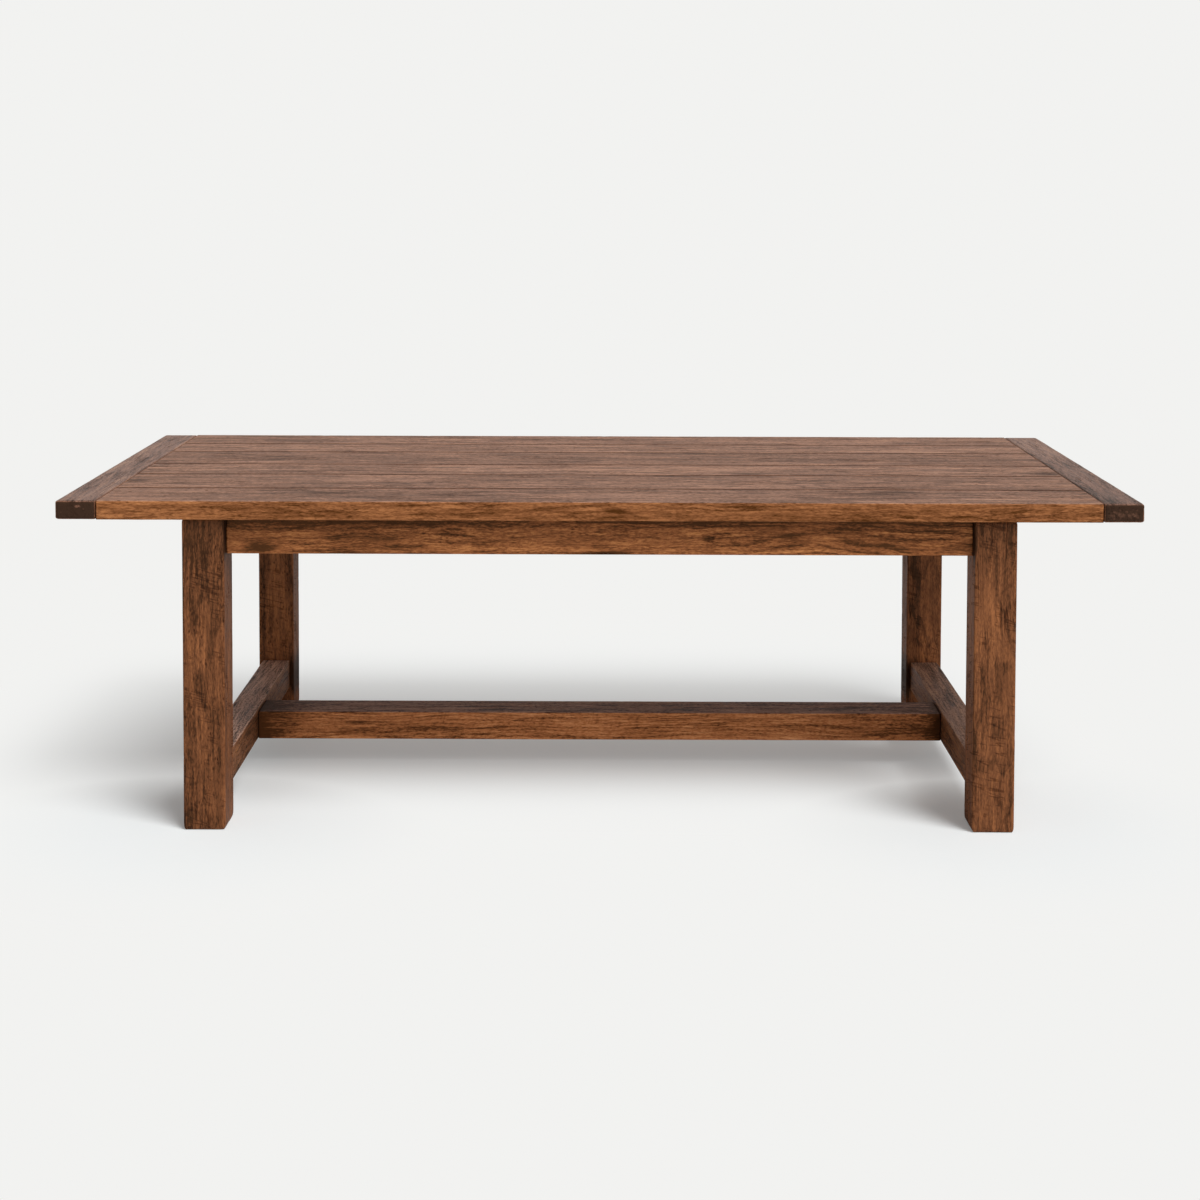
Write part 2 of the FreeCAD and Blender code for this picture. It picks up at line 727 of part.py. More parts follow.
# Corner blocks
def make_corner_block(label, side_x, side_y, turn):
    """A mitred block that ties two aprons together behind a leg, drawn from the leg's corner."""
    place = (leg_outer_x * side_x, leg_outer_y * side_y, block_underside)
    body = new_body(label, place, turn)
    near, far, face = block_near - apron_inner, block_far - apron_inner, apron_inner
    plan = new_sketch(body, "plan", "XY_Plane")
    draw_outline(plan, [(face, near), (face, far), (far, face), (near, face)])
    add_pad(body, "blank", plan, size("corner_block_height"), toward=1)
    seat = face + size("block_screw_seat")
    low_end, high_end = block_screw_place - head_hole_radius, block_screw_place + head_hole_radius
    foot, head = block_screw_rise - head_hole_radius, block_screw_rise + head_hole_radius
    for role, name in (("XZ_Plane", "first"), ("YZ_Plane", "second")):
        shank = new_sketch(body, f"{name}_hole_mouth", role, seat)
        draw_peg_hole(shank, (block_screw_place, block_screw_rise), screw_hole_radius)
        add_pocket(body, f"{name}_screw_hole", shank, size("block_screw_seat") * 2, toward=-1)
        notch = new_sketch(body, f"{name}_notch_mouth", role, seat)
        draw_rectangle(notch, (low_end, foot), (high_end, head))
        add_pocket(body, f"{name}_head_notch", notch, size("corner_block_thickness"), toward=1)


CORNERS = (
    ("front_left", -1, -1, 0),
    ("front_right", 1, -1, 90),
    ("back_right", 1, 1, 180),
    ("back_left", -1, 1, 270),
)
for name, side_x, side_y, turn in CORNERS:
    make_corner_block(f"corner_block_{name}", side_x, side_y, turn)


# Buttons, pegs and screws: many alike, so each kind is one group of separate solids
def add_group(label, shapes):
    group = doc.addObject("Part::Feature", label)
    group.Label = label
    group.Shape = Part.makeCompound(shapes)
    group.Placement = Placement()


def placed(shape, place, turn=0, axis=Vector(0, 0, 1)):
    """A copy of the shape turned about the axis and carried to the place."""
    x, y, z = (value(length) for length in place)
    copy = shape.copy()
    copy.Placement = Placement(Vector(x, y, z), Rotation(axis, turn))
    return copy


def button_shape():
    """One button about its screw's axis: a block under the top, its tongue in the groove."""
    inset = value(button_screw_inset)
    reach = value(size("button_reach")) - inset
    tip = -inset - value(size("button_tongue_depth"))
    tongue_top, foot = -value(button_tongue_top), -value(button_height)
    half = value(size("button_length")) / 2
    outline = [(-inset, 0), (reach, 0), (reach, foot), (tip, foot), (tip, tongue_top)]
    outline.append((-inset, tongue_top))
    corners = [Vector(-half, y, z) for y, z in outline]
    block = Part.Face(Part.makePolygon(corners + corners[:1])).extrude(Vector(2 * half, 0, 0))
    over = value(size("overrun"))
    return block.cut(prism(value(screw_hole_radius), foot - over, over))


def prism(radius, low, high):
    """An upright eight-sided prism whose corners lie on the radius."""
    corners = [Vector(radius * across, radius * up, low) for across, up in PEG_SHARES]
    return Part.Face(Part.makePolygon(corners + corners[:1])).extrude(Vector(0, 0, high - low))


def screw_shape(length):
    """A wood screw that points up from its head's seat at the origin."""
    shank = prism(value(size("screw_diameter")) / 2, 0, value(length))
    head_height = value(size("screw_head_height"))
    return shank.fuse(prism(value(size("screw_head_diameter")) / 2, -head_height, 0))


def peg_shape(diameter, length):
    """A riven peg that points up from its foot at the origin."""
    return prism(value(diameter) / 2, 0, value(length))


button = button_shape()
buttons = []
button_screws = []
button_screw = screw_shape(size("button_screw_length"))
for x, y, _, turn in button_layout:
    buttons.append(placed(button, (x, y, top_underside), turn))
    button_screws.append(placed(button_screw, (x, y, top_underside - button_height), turn))
add_group("top_buttons", buttons)
add_group("button_screws", button_screws)

block_screw = screw_shape(size("block_screw_length"))
block_screws = []
seat = apron_inner + size("block_screw_seat")
height = block_underside + block_screw_rise
for _, side_x, side_y, turn in CORNERS:
    to_long = ((leg_outer_x - block_screw_place) * side_x, (leg_outer_y - seat) * side_y)
    to_end = ((leg_outer_x - seat) * side_x, (leg_outer_y - block_screw_place) * side_y)
    toward_long, toward_end = Vector(-side_y, 0, 0), Vector(0, side_x, 0)
    block_screws.append(placed(block_screw, (*to_long, height), 90, toward_long))
    block_screws.append(placed(block_screw, (*to_end, height), 90, toward_end))
add_group("corner_block_screws", block_screws)

end_peg_length = size("top_thickness") - size("end_peg_cover") - size("tenon_clearance")
end_peg = peg_shape(size("end_peg_diameter"), end_peg_length)
end_peg_x = plank_half_span + size("end_peg_setback")
end_pegs = [
    placed(end_peg, (end_peg_x * side, y, top_underside)) for side in (1, -1) for y in plank_middles
]
add_group("breadboard_pegs", end_pegs)

centre_peg_reach = size("side_stretcher_height") - size("centre_peg_cover")
centre_peg = peg_shape(size("centre_peg_diameter"), centre_peg_reach - size("tenon_clearance"))
centre_peg_x = centre_half_span + size("centre_peg_setback")
centre_pegs = [
    placed(
        centre_peg,
        (centre_peg_x * side, size("centre_peg_spacing") * half, size("stretcher_clearance")),
    )
    for side in (1, -1)
    for half in (-0.5, 0.5)
]
add_group("stretcher_pegs", centre_pegs)


# Every object is tested before any file is written
doc.recompute()
for item in doc.Objects:
    if "Invalid" in item.State or "Error" in item.State:
        raise RuntimeError(f"{item.Name} failed: {item.State}")
nodes = [item for item in doc.Objects if item.TypeId in ("PartDesign::Body", "Part::Feature")]
for node in nodes:
    if node.Shape.isNull() or not node.Shape.isValid():
        raise RuntimeError(f"{node.Label} has no sound shape")

os.makedirs("parts", exist_ok=True)
for node in nodes:
    node.Shape.exportStep(f"parts/{node.Label}.step")
print(f"{len(nodes)} nodes, {sum(len(node.Shape.Solids) for node in nodes)} solids")
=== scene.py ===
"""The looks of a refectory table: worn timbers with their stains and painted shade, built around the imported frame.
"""

import logging
import math
from collections.abc import Sequence
from dataclasses import dataclass, field, replace
from enum import Enum
from functools import reduce
from types import SimpleNamespace
from typing import ClassVar

import bmesh
import bpy
from bpy.types import ID, Material, Mesh, NodeSocket, NodeTree, Object
from mathutils import Matrix, Vector


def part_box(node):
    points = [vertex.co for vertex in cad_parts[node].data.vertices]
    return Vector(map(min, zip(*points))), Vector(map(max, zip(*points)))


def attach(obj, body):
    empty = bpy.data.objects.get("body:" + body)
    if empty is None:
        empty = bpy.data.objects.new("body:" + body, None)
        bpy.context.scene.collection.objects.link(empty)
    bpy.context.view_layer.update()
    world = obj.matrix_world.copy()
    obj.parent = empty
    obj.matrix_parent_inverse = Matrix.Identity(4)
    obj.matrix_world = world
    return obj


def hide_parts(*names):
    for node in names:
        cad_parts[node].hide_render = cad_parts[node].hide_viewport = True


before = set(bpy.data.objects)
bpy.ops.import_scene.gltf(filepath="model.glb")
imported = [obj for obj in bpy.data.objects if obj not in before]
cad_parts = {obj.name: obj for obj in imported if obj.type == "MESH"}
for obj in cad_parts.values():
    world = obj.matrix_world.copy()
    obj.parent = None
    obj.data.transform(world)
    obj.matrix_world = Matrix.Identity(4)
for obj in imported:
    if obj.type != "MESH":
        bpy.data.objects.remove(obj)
log = logging.getLogger("refectory_table")
Three = tuple[float, float, float]
Four = tuple[float, float, float, float]
CORNERS = ("front_left", "front_right", "back_left", "back_right")


class Wire:
    """One output of a node, which can be added to and multiplied like a number or a vector."""

    def __init__(self, bench: "NodeBench", socket: NodeSocket) -> None:
        """Holds the output and the bench that its tree is on."""
        self.bench, self.socket = bench, socket

    def __add__(self, other: "Feed") -> "Wire":
        """The sum."""
        return maths("ADD", self, other)

    def __sub__(self, other: "Feed") -> "Wire":
        """This less the other."""
        return maths("SUBTRACT", self, other)

    def __rsub__(self, other: "Feed") -> "Wire":
        """The other less this."""
        return maths("SUBTRACT", other, self)

    def __mul__(self, other: "Feed") -> "Wire":
        """The product."""
        return maths("MULTIPLY", self, other)

    def __truediv__(self, other: "Feed") -> "Wire":
        """The quotient."""
        return maths("DIVIDE", self, other)

    def __abs__(self) -> "Wire":
        """The size without the sign."""
        return maths("ABSOLUTE", self)

    def noise(self, along: float, across: float, detail: float = 2.0, roughness: float = 0.5) -> "Wire":
        """A noise over a place, finer the larger the two scales along X and across it are."""
        inputs = {"Vector": self * (along, across, across), "Scale": 1.0, "Detail": detail, "Roughness": roughness}
        return self.bench.add("ShaderNodeTexNoise", inputs)

    def cells(self, along: float, across: float) -> "Wire":
        """The distance to the middle of the nearest cell, in a pattern of cells over a place."""
        inputs = {"Vector": self * (along, across, across), "Scale": 1.0}
        return self.bench.add("ShaderNodeTexVoronoi", inputs, voronoi_dimensions="3D")

    def ramp(self, start: "Feed", end: "Feed", low: "Feed" = 0.0, high: "Feed" = 1.0) -> "Wire":
        """Turns a number between start and end smoothly into one between low and high."""
        inputs = {0: self, 1: start, 2: end, 3: low, 4: high}
        return self.bench.add("ShaderNodeMapRange", inputs, interpolation_type="SMOOTHSTEP")

    def fall(self, start: float, end: float) -> "Wire":
        """Falls smoothly from one to nothing between start and end."""
        return self.ramp(start, end, 1.0, 0.0)

    def fitted(self, start: "Feed", end: "Feed", low: "Feed", high: "Feed") -> "Wire":
        """Maps each part of a vector evenly from one range to another."""
        inputs = {6: self, 7: start, 8: end, 9: low, 10: high}
        return self.bench.add("ShaderNodeMapRange", inputs, 1, data_type="FLOAT_VECTOR")

    def beside(self, output: str | int) -> "Wire":
        """Another output of the same node."""
        return Wire(self.bench, self.socket.node.outputs[output])

    def parts(self) -> tuple["Wire", "Wire", "Wire"]:
        """The three numbers of a vector."""
        first = self.bench.add("ShaderNodeSeparateXYZ", {0: self})
        return first, first.beside(1), first.beside(2)


Feed = float | int | bool | tuple[float, ...] | Material | Wire | list[Wire]


class NodeBench:
    """Adds nodes to one node tree and wires them."""

    def __init__(self, tree: NodeTree) -> None:
        """Starts on a tree that may already hold nodes."""
        self.tree = tree

    def feed(self, socket: NodeSocket, value: Feed) -> None:
        """Links a wire or several into a socket, or writes the socket's own value.

        Args:
            socket: the input to fill.
            value: what goes in.
        """
        if isinstance(value, list):
            for wire in value:
                self.feed(socket, wire)
        elif isinstance(value, Wire):
            self.tree.links.new(value.socket, socket)
        else:
            socket.default_value = value

    def add(
        self, kind: str, inputs: dict[str | int, Feed] | None = None, output: str | int = 0, **settings: object,
    ) -> Wire:
        """Adds one node.

        Args:
            kind: the node's type name.
            inputs: what goes into its sockets, by name or number.
            output: the output that is wanted.
            **settings: the node's own options.

        Returns:
            The wanted output.
        """
        node = self.tree.nodes.new(kind)
        for name, setting in settings.items():
            setattr(node, name, setting)
        for key, value in (inputs or {}).items():
            self.feed(node.inputs[key], value)
        return Wire(self, node.outputs[output])

    def given(self) -> SimpleNamespace:
        """What the tree is given, by name."""
        outputs = self.tree.nodes.new("NodeGroupInput").outputs
        return SimpleNamespace(**{socket.name: Wire(self, socket) for socket in outputs if socket.name})

    def give(self, *values: Feed) -> None:
        """Sends values out of the tree, in the order of its outputs."""
        for socket, value in zip(self.tree.nodes.new("NodeGroupOutput").inputs, values):
            self.feed(socket, value)

    def shown(self, shape: Wire, material: Wire) -> NodeTree:
        """Makes a shape real, dresses it and sends it out of the tree.

        Args:
            shape: the last shape.
            material: what it is made of.

        Returns:
            The finished tree.
        """
        real = self.add("GeometryNodeRealizeInstances", {"Geometry": shape})
        self.give(self.add("GeometryNodeSetMaterial", {"Geometry": real, "Material": material}))
        return self.tree

    def mixed(self, share: Feed, first: Feed, second: Feed, blend: str = "MIX") -> Wire:
        """Mixes two colours."""
        return self.add("ShaderNodeMix", {0: share, 6: first, 7: second}, 2, data_type="RGBA", blend_type=blend)

    def coated(self, inputs: dict[str, Feed]) -> Wire:
        """Feeds a material's own shader.

        Args:
            inputs: what goes into its sockets, by name.

        Returns:
            The shader's output.
        """
        shader = self.tree.nodes["Principled BSDF"]
        for name, value in inputs.items():
            self.feed(shader.inputs[name], value)
        return Wire(self, shader.outputs[0])


def is_vector(part: Feed) -> bool:
    """Whether a part of a sum or a product has three numbers."""
    return part.socket.type in {"VECTOR", "RGBA"} if isinstance(part, Wire) else isinstance(part, tuple)


def maths(operation: str, *parts: Feed) -> Wire:
    """Adds a Math node, or a Vector Math node where one of the parts is a vector.

    Args:
        operation: what it does with the parts.
        *parts: what goes in, in order, with at least one wire.

    Returns:
        The result.
    """
    bench = next(part.bench for part in parts if isinstance(part, Wire))
    if not any(is_vector(part) for part in parts):
        return bench.add("ShaderNodeMath", dict(enumerate(parts)), operation=operation)
    threes = [(part,) * 3 if isinstance(part, (int, float)) else part for part in parts]
    output = 1 if operation in {"DOT_PRODUCT", "LENGTH", "DISTANCE"} else 0
    return bench.add("ShaderNodeVectorMath", dict(enumerate(threes)), output, operation=operation)


def least(first: Feed, second: Feed) -> Wire:
    """The lesser of two."""
    return maths("MINIMUM", first, second)


def most(*parts: Feed) -> Wire:
    """The greatest of several."""
    return reduce(lambda first, second: maths("MAXIMUM", first, second), parts)


def new_group(kind: str, name: str, inputs: dict[str, str], outputs: dict[str, str]) -> NodeBench:
    """Makes a node group with named sockets.

    Args:
        kind: the tree's type name.
        name: the group's name.
        inputs: the names of its sockets by their kind, with spaces between them.
        outputs: the same for what the group gives.

    Returns:
        The bench of the empty group.
    """
    tree = bpy.data.node_groups.new(name, kind)
    for way, sockets in (("INPUT", inputs), ("OUTPUT", outputs)):
        for socket_kind, labels in sockets.items():
            for label in labels.split():
                tree.interface.new_socket(label, in_out=way, socket_type=f"NodeSocket{socket_kind}")
    return NodeBench(tree)


def held(tree: NodeTree, source: object) -> dict[str, Feed]:
    """The fields of a finish or a piece that a tree has inputs for."""
    names = [item.name for item in tree.interface.items_tree if item.in_out == "INPUT"]
    return {name: getattr(source, name) for name in names if hasattr(source, name)}


def new_material(name: str) -> tuple[Material, NodeBench]:
    """Makes a material.

    Args:
        name: its name.

    Returns:
        The material and the bench of its nodes.
    """
    material = bpy.data.materials.new(name)
    material.use_nodes = True
    return material, NodeBench(material.node_tree)


def linear(stain: str) -> Four:
    """Turns a stain written as six hexadecimal digits into a linear colour.

    Args:
        stain: red, green and blue as on a screen, two digits each.

    Returns:
        The colour as Blender's sockets hold it, with full alpha.
    """
    parts = [int(stain[place:place + 2], 16) / 255 for place in (0, 2, 4)]
    red, green, blue = [part / 12.92 if part <= 0.04045 else ((part + 0.055) / 1.055) ** 2.4 for part in parts]
    return red, green, blue, 1.0


def metres(x: float, y: float, z: float) -> Three:
    """Three lengths given in millimetres, as metres."""
    return x / 1000, y / 1000, z / 1000


class Grain(Enum):
    """The axis that a timber's grain runs along, with the turn that lays it along X."""

    ALONG_X = (0, (0.0, 0.0, 0.0))
    ALONG_Y = (1, (0.0, 0.0, -math.pi / 2))
    ALONG_Z = (2, (0.0, math.pi / 2, 0.0))

    @property
    def axis(self) -> int:
        """Number of the axis."""
        return self.value[0]

    @property
    def turn(self) -> Three:
        """Rotation for a Mapping node."""
        return self.value[1]

    def laid(self, size: Vector) -> Vector:
        """A size as it is once the grain lies along X."""
        order = {0: (0, 1, 2), 1: (1, 0, 2), 2: (2, 1, 0)}[self.axis]
        return Vector([size[place] for place in order])

    def parted(self, along: float, across: float) -> Three:
        """Three numbers that differ along and across the grain."""
        return tuple(along if place == self.axis else across for place in range(3))


class WoodGroup:
    """The shader group that all timbers share: rings, fibres, blotches, knots, checks and pits."""

    INPUTS = {
        "Vector": "place half_size offset pith seams",
        "Color": "deep middle light",
        "Float": "end_grain tone streaks figure blotches knots pores pits checks saw_marks rub stained upward "
                 "end_tone roughness",
    }
    OUTPUTS = {"Color": "colour", "Float": "roughness height"}
    KNOT_SHARE = 0.6
    KNOT_CORE = (0.05, 0.13)
    KNOT_REACH = (0.0, 0.45)
    KNOT_BEND = 0.012
    SWAY_BEND = 0.035
    RINGS_PER_METRE = 130.0
    RINGS_AWAY_AT_KNOTS = 0.02
    RINGS_PER_ARCH = 7.0
    SAW_SLANT = -0.26
    DARKEST = (0.79, 0.87, 0.96)

    def __init__(self) -> None:
        """Bends the place in the wood that the patterns follow: knots and slow waves push the fibres aside."""
        self.bench = bench = new_group("ShaderNodeTree", "aged_wood", self.INPUTS, self.OUTPUTS)
        self.given = given = bench.given()
        self.place = place = given.place + given.offset
        knot = place.cells(3.2, 8.0)
        knot_pick = bench.add("ShaderNodeSeparateColor", {0: knot.beside("Color")})
        knot_here = maths("LESS_THAN", knot_pick, self.KNOT_SHARE) * given.knots
        self.knot_core = knot.fall(*self.KNOT_CORE) * knot_here
        self.knot_pull = knot.fall(*self.KNOT_REACH) * knot_here
        sway = place.noise(2.0, 8.0, 3.0).beside("Color")
        pull = bench.add("ShaderNodeCombineXYZ", {1: self.knot_pull * self.KNOT_BEND})
        self.bent = place + (sway - 0.5) * (0.0, self.SWAY_BEND, self.SWAY_BEND) + pull

    def late_wood(self) -> Wire:
        """Adds growth rings about a pith beside the timber, swaying enough to close into arches.

        Returns:
            The rings' dark part, faded in places.
        """
        bench, place = self.bench, self.place
        around = (self.bent - self.given.pith) * (0.0, 1.0, 1.0)
        reach = self.knot_pull * self.RINGS_AWAY_AT_KNOTS + maths("LENGTH", around)
        arch = place.noise(2.2, 9.0, 1.0)
        wander = arch * self.RINGS_PER_ARCH + place.noise(11.0, 45.0, 3.0)
        ring = maths("FRACT", reach * self.RINGS_PER_METRE + wander)
        faded = place.noise(2.4, 15.0).ramp(0.35, 0.65, 0.25, 0.9)
        return ring.ramp(0.5, 0.8) * ring.fall(0.9, 1.0) * faded

    def saw_marks(self) -> Wire:
        """Adds saw and scraper marks that cross the grain at a slant, in patches.

        Returns:
            How deep the marks are.
        """
        bench, place = self.bench, self.place
        slant = bench.add("ShaderNodeMapping", {"Vector": place, "Rotation": (0.0, self.SAW_SLANT, self.SAW_SLANT)})
        marks = abs(slant.noise(70.0, 6.0) - 0.5).fall(0.008, 0.045)
        where = place.noise(9.0, 24.0, 3.0, 0.6)
        return marks * where.ramp(0.48, 0.6) * self.given.saw_marks

    def checks(self) -> Wire:
        """Adds long checks along the grain.

        Returns:
            How deep they are.
        """
        line = abs(self.bent.noise(2.2, 60.0, 1.0) - 0.5).fall(0.006, 0.03)
        here = self.place.noise(4.5, 12.0, 1.0).ramp(0.54, 0.66)
        return line * here * self.given.checks

    def pits(self) -> Wire:
        """Adds pits and worm holes in clusters.

        Returns:
            How deep they are.
        """
        bench, place = self.bench, self.place
        pit = place.cells(75.0, 160.0)
        pick = bench.add("ShaderNodeSeparateColor", {0: pit.beside("Color")}, 1)
        cluster = place.noise(8.0, 20.0).ramp(0.5, 0.75, 0.015, 0.6)
        return pit.fall(0.15, 0.45) * maths("LESS_THAN", pick, cluster) * self.given.pits

    def build(self) -> NodeTree:
        """Builds the group once.

        Returns:
            The shader group.
        """
        bench, given, place, bent = self.bench, self.given, self.place, self.bent
        late_wood, marks, check, pit_depth = self.late_wood(), self.saw_marks(), self.checks(), self.pits()

        # Fibres: broad streaks, middling and fine ones, and flecks, stronger in some places
        broad = bent.noise(2.8, 40.0)
        middling = bent.noise(6.5, 110.0, 3.0, 0.55)
        fine = bent.noise(12.0, 220.0, 3.0, 0.6)
        fleck = bent.noise(90.0, 420.0, 2.0, 0.6)
        hair = abs(bent.noise(7.0, 60.0, 3.0, 0.6) - 0.5).fall(0.006, 0.03)
        cloud = place.noise(1.9, 8.0, 3.0)
        patch = bent.noise(5.5, 24.0, 4.0, 0.6)
        fibres = (broad - 0.5) * 0.9 + (middling - 0.5) * 1.3 + (fine - 0.5) * 1.8 + (fleck - 0.5) * 2.2
        lively = patch.ramp(0.3, 0.7, 0.8, 1.2) * given.streaks * (given.upward * 0.4 + 1.0)
        tone = fibres * lively + 0.5 + given.tone - late_wood * given.figure + (cloud - 0.5) * 0.62

        # Blotches of dark stain, longer than they are wide, and the timber's own patches of stain and of painted
        # shade and light
        tone = tone - patch.ramp(0.5, 0.78) * given.blotches - given.stained

        # Arrises rubbed through the stain, and dirt in the seams, measured from the timber's own box
        depth_x, depth_y, depth_z = (given.half_size - abs(given.place)).parts()
        to_edge = most(least(depth_x, depth_y), least(most(depth_x, depth_y), depth_z))
        ragged = place.noise(22.0, 60.0, 3.0, 0.6)
        tone = tone + (ragged * -0.012 + to_edge).fall(-0.006, 0.002) * given.rub
        end_dirt, near_dirt, far_dirt = given.seams.parts()
        near = maths("LESS_THAN", given.place.parts()[1], 0.0)
        seam = (ragged * -0.005 + depth_y).fall(-0.002, 0.0052) * (near * near_dirt + (1.0 - near) * far_dirt)
        end_seam = (ragged * -0.005 + depth_x).fall(-0.002, 0.002) * end_dirt

        # End grain drinks the stain, most at its borders
        mottle = place.noise(60.0, 120.0, 4.0, 0.65)
        border = least(depth_y, depth_z).ramp(0.0, 0.02, -0.12, 0.12)
        end_tone = (mottle - 0.5) * 0.8 + border + given.end_tone - late_wood * 0.15 - given.stained
        tone = bench.add("ShaderNodeMix", {0: given.end_grain, 2: tone, 3: end_tone}, data_type="FLOAT")
        tone = most(tone, 0.0)
        lower = bench.add("ShaderNodeMapRange", {0: tone, 2: 0.5})
        upper = bench.add("ShaderNodeMapRange", {0: tone, 1: 0.5, 2: 1.1})
        colour = bench.mixed(upper, bench.mixed(lower, given.deep, given.middle), given.light)

        # What is darker than the stain: knots, marks, dirt in the seams, the deepest patches (painted shade in
        # recesses and at joints, and one dark mark on the front apron), pores, checks and pits
        pores = most(fine.ramp(0.6, 0.72), fleck.ramp(0.6, 0.75), hair * patch.ramp(0.35, 0.6, 0.2, 1.0))
        dark = most(
            self.knot_core * 0.65, marks * 0.6, seam, end_seam, given.stained.ramp(0.7, 1.6, 0.0, 0.85),
            pores * given.pores, check * 0.75, pit_depth * 0.8,
        )
        colour = bench.mixed(1.0, colour, 1.0 - dark * self.DARKEST, "MULTIPLY")
        rough = given.roughness + (middling - 0.5) * 0.3 + dark * 0.25
        height = (fine + middling) * 0.6 + late_wood * 0.3 - marks * 0.9 - check * 2.2 - pit_depth * 3.0
        bench.give(colour, rough, height)
        return bench.tree


WOOD = WoodGroup().build()


@dataclass(frozen=True)
class StainAndShade:
    """A patch of a timber, in millimetres, dark, or light where the depth is negative; some patches are stains,
    others painted shade and painted light.
    """

    place: Three
    reach: Three
    depth: float


FRONT_EDGE, APRON_FACE, LEG_FACE, TOP_FACE = -533.5, -494.5, -518.5, 762.0
TALL = 4000.0
# Where the patches of each timber lie, how far they reach and how deep they are: stains, painted shade under the top,
# in recesses and at joints, and painted light
STAIN_AND_SHADE_PATCHES = {
    "plank_1": (
        ((-620, -420, TOP_FACE), (110, 26, 12), 0.45),
        ((-285, -442, TOP_FACE), (130, 18, 12), 0.5),
        ((690, -389, TOP_FACE), (80, 14, 12), 0.6),
        ((37, FRONT_EDGE, 742), (34, 12, 8), 0.5),
        ((345, FRONT_EDGE, 750), (40, 12, 7), 0.35),
        ((700, FRONT_EDGE, 730), (24, 12, 6), 0.5),
        ((0, FRONT_EDGE, 740), (TALL, 10, TALL), -0.03),
        ((-350, FRONT_EDGE, 752), (60, 12, 8), -0.3),
        ((-480, FRONT_EDGE, 738), (110, 12, 12), -0.2),
        ((125, FRONT_EDGE, 735), (45, 12, 8), -0.3),
    ),
    "plank_2": (((-1120, -260, TOP_FACE), (45, 30, 12), 0.5),),
    "plank_3": (
        ((371, -131, TOP_FACE), (60, 18, 12), 0.6),
        ((1110, -100, TOP_FACE), (45, 40, 12), 0.4),
    ),
    "apron_front": (
        # Painted shadow of the top's overhang: a dark band along the apron's upper edge
        ((0, APRON_FACE, 718), (TALL, TALL, 26), 0.55),
        ((-781, APRON_FACE, 650), (50, 20, 14), 0.6),
        ((-650, APRON_FACE, 676), (300, 20, 90), 0.2),
        ((-350, APRON_FACE, 680), (40, 20, 6), 0.6),
        ((-330, APRON_FACE, 692), (30, 20, 4), 0.6),
        ((250, APRON_FACE, 671), (18, 20, 10), 0.7),
        ((444, APRON_FACE, 676), (42, 20, 12), 0.45),
        ((12, APRON_FACE, 637), (60, 20, 6), 1.4),
    ),
    "leg_front_left": (
        # Painted shade at the top of the leg, under the table top
        ((-902, LEG_FACE, 718), (TALL, TALL, 260), 0.3),
        # Painted shade in the recess between the leg and the apron
        ((-854, -504, 676), (7, 16, 60), 1.6),
    ),
    "leg_front_right": (
        # Painted shade at the top of the leg, under the table top
        ((902, LEG_FACE, 718), (TALL, TALL, 160), 0.25),
        ((902, LEG_FACE, 300), (TALL, TALL, 420), -0.05),
        # Painted shade in the recess between the leg and the apron
        ((854, -504, 676), (7, 16, 60), 1.6),
    ),
    "leg_back_left": (
        # Painted light lifting the back leg's face
        ((-902, 421, 300), (TALL, TALL, 600), -0.35),
        ((-940, 421, 520), (20, TALL, 420), 0.7),
        ((-866, 421, 440), (16, TALL, 180), 0.7),
        # Painted shade in the corner where the side stretcher meets the leg
        ((-856, 421, 100), (16, TALL, 60), 1.3),
    ),
    "leg_back_right": (
        # Painted light lifting the back leg's face
        ((902, 421, 300), (TALL, TALL, 600), -0.15),
        ((876, 421, 520), (18, TALL, 380), 0.7),
        # Painted shade in the corner where the side stretcher meets the leg
        ((856, 421, 100), (16, TALL, 60), 1.3),
    ),
    "breadboard_left": (
        ((-1188, -530, 740), (90, 14, 50), 0.3),
        ((-1183, -530, 749), (9, 14, 5), -0.7),
    ),
    "breadboard_right": (
        ((1188, 0, TOP_FACE), (TALL, TALL, 30), 0.24),
        ((1188, 380, TOP_FACE), (TALL, 300, 30), -0.35),
    ),
    "side_stretcher_left": (
        ((-902, 300, 147), (60, 260, 30), -0.3),
        # Painted shade in the corner where the centre stretcher meets it
        ((-866, 0, 105), (20, 95, 60), 0.6),
    ),
    # Painted shade in the corner where the centre stretcher meets it
    "side_stretcher_right": (((866, 0, 105), (20, 95, 60), 0.6),),
    "centre_stretcher": (
        # Painted shade at both ends, by the joints with the side stretchers, deepest at the very ends
        ((-880, 0, 105), (150, TALL, TALL), 0.45),
        ((880, 0, 105), (150, TALL, TALL), 0.45),
        ((-872, 0, 105), (30, TALL, TALL), 0.5),
        ((872, 0, 105), (30, TALL, TALL), 0.5),
    ),
}
STAINS_AND_SHADE = {node: [StainAndShade(*row) for row in rows] for node, rows in STAIN_AND_SHADE_PATCHES.items()}


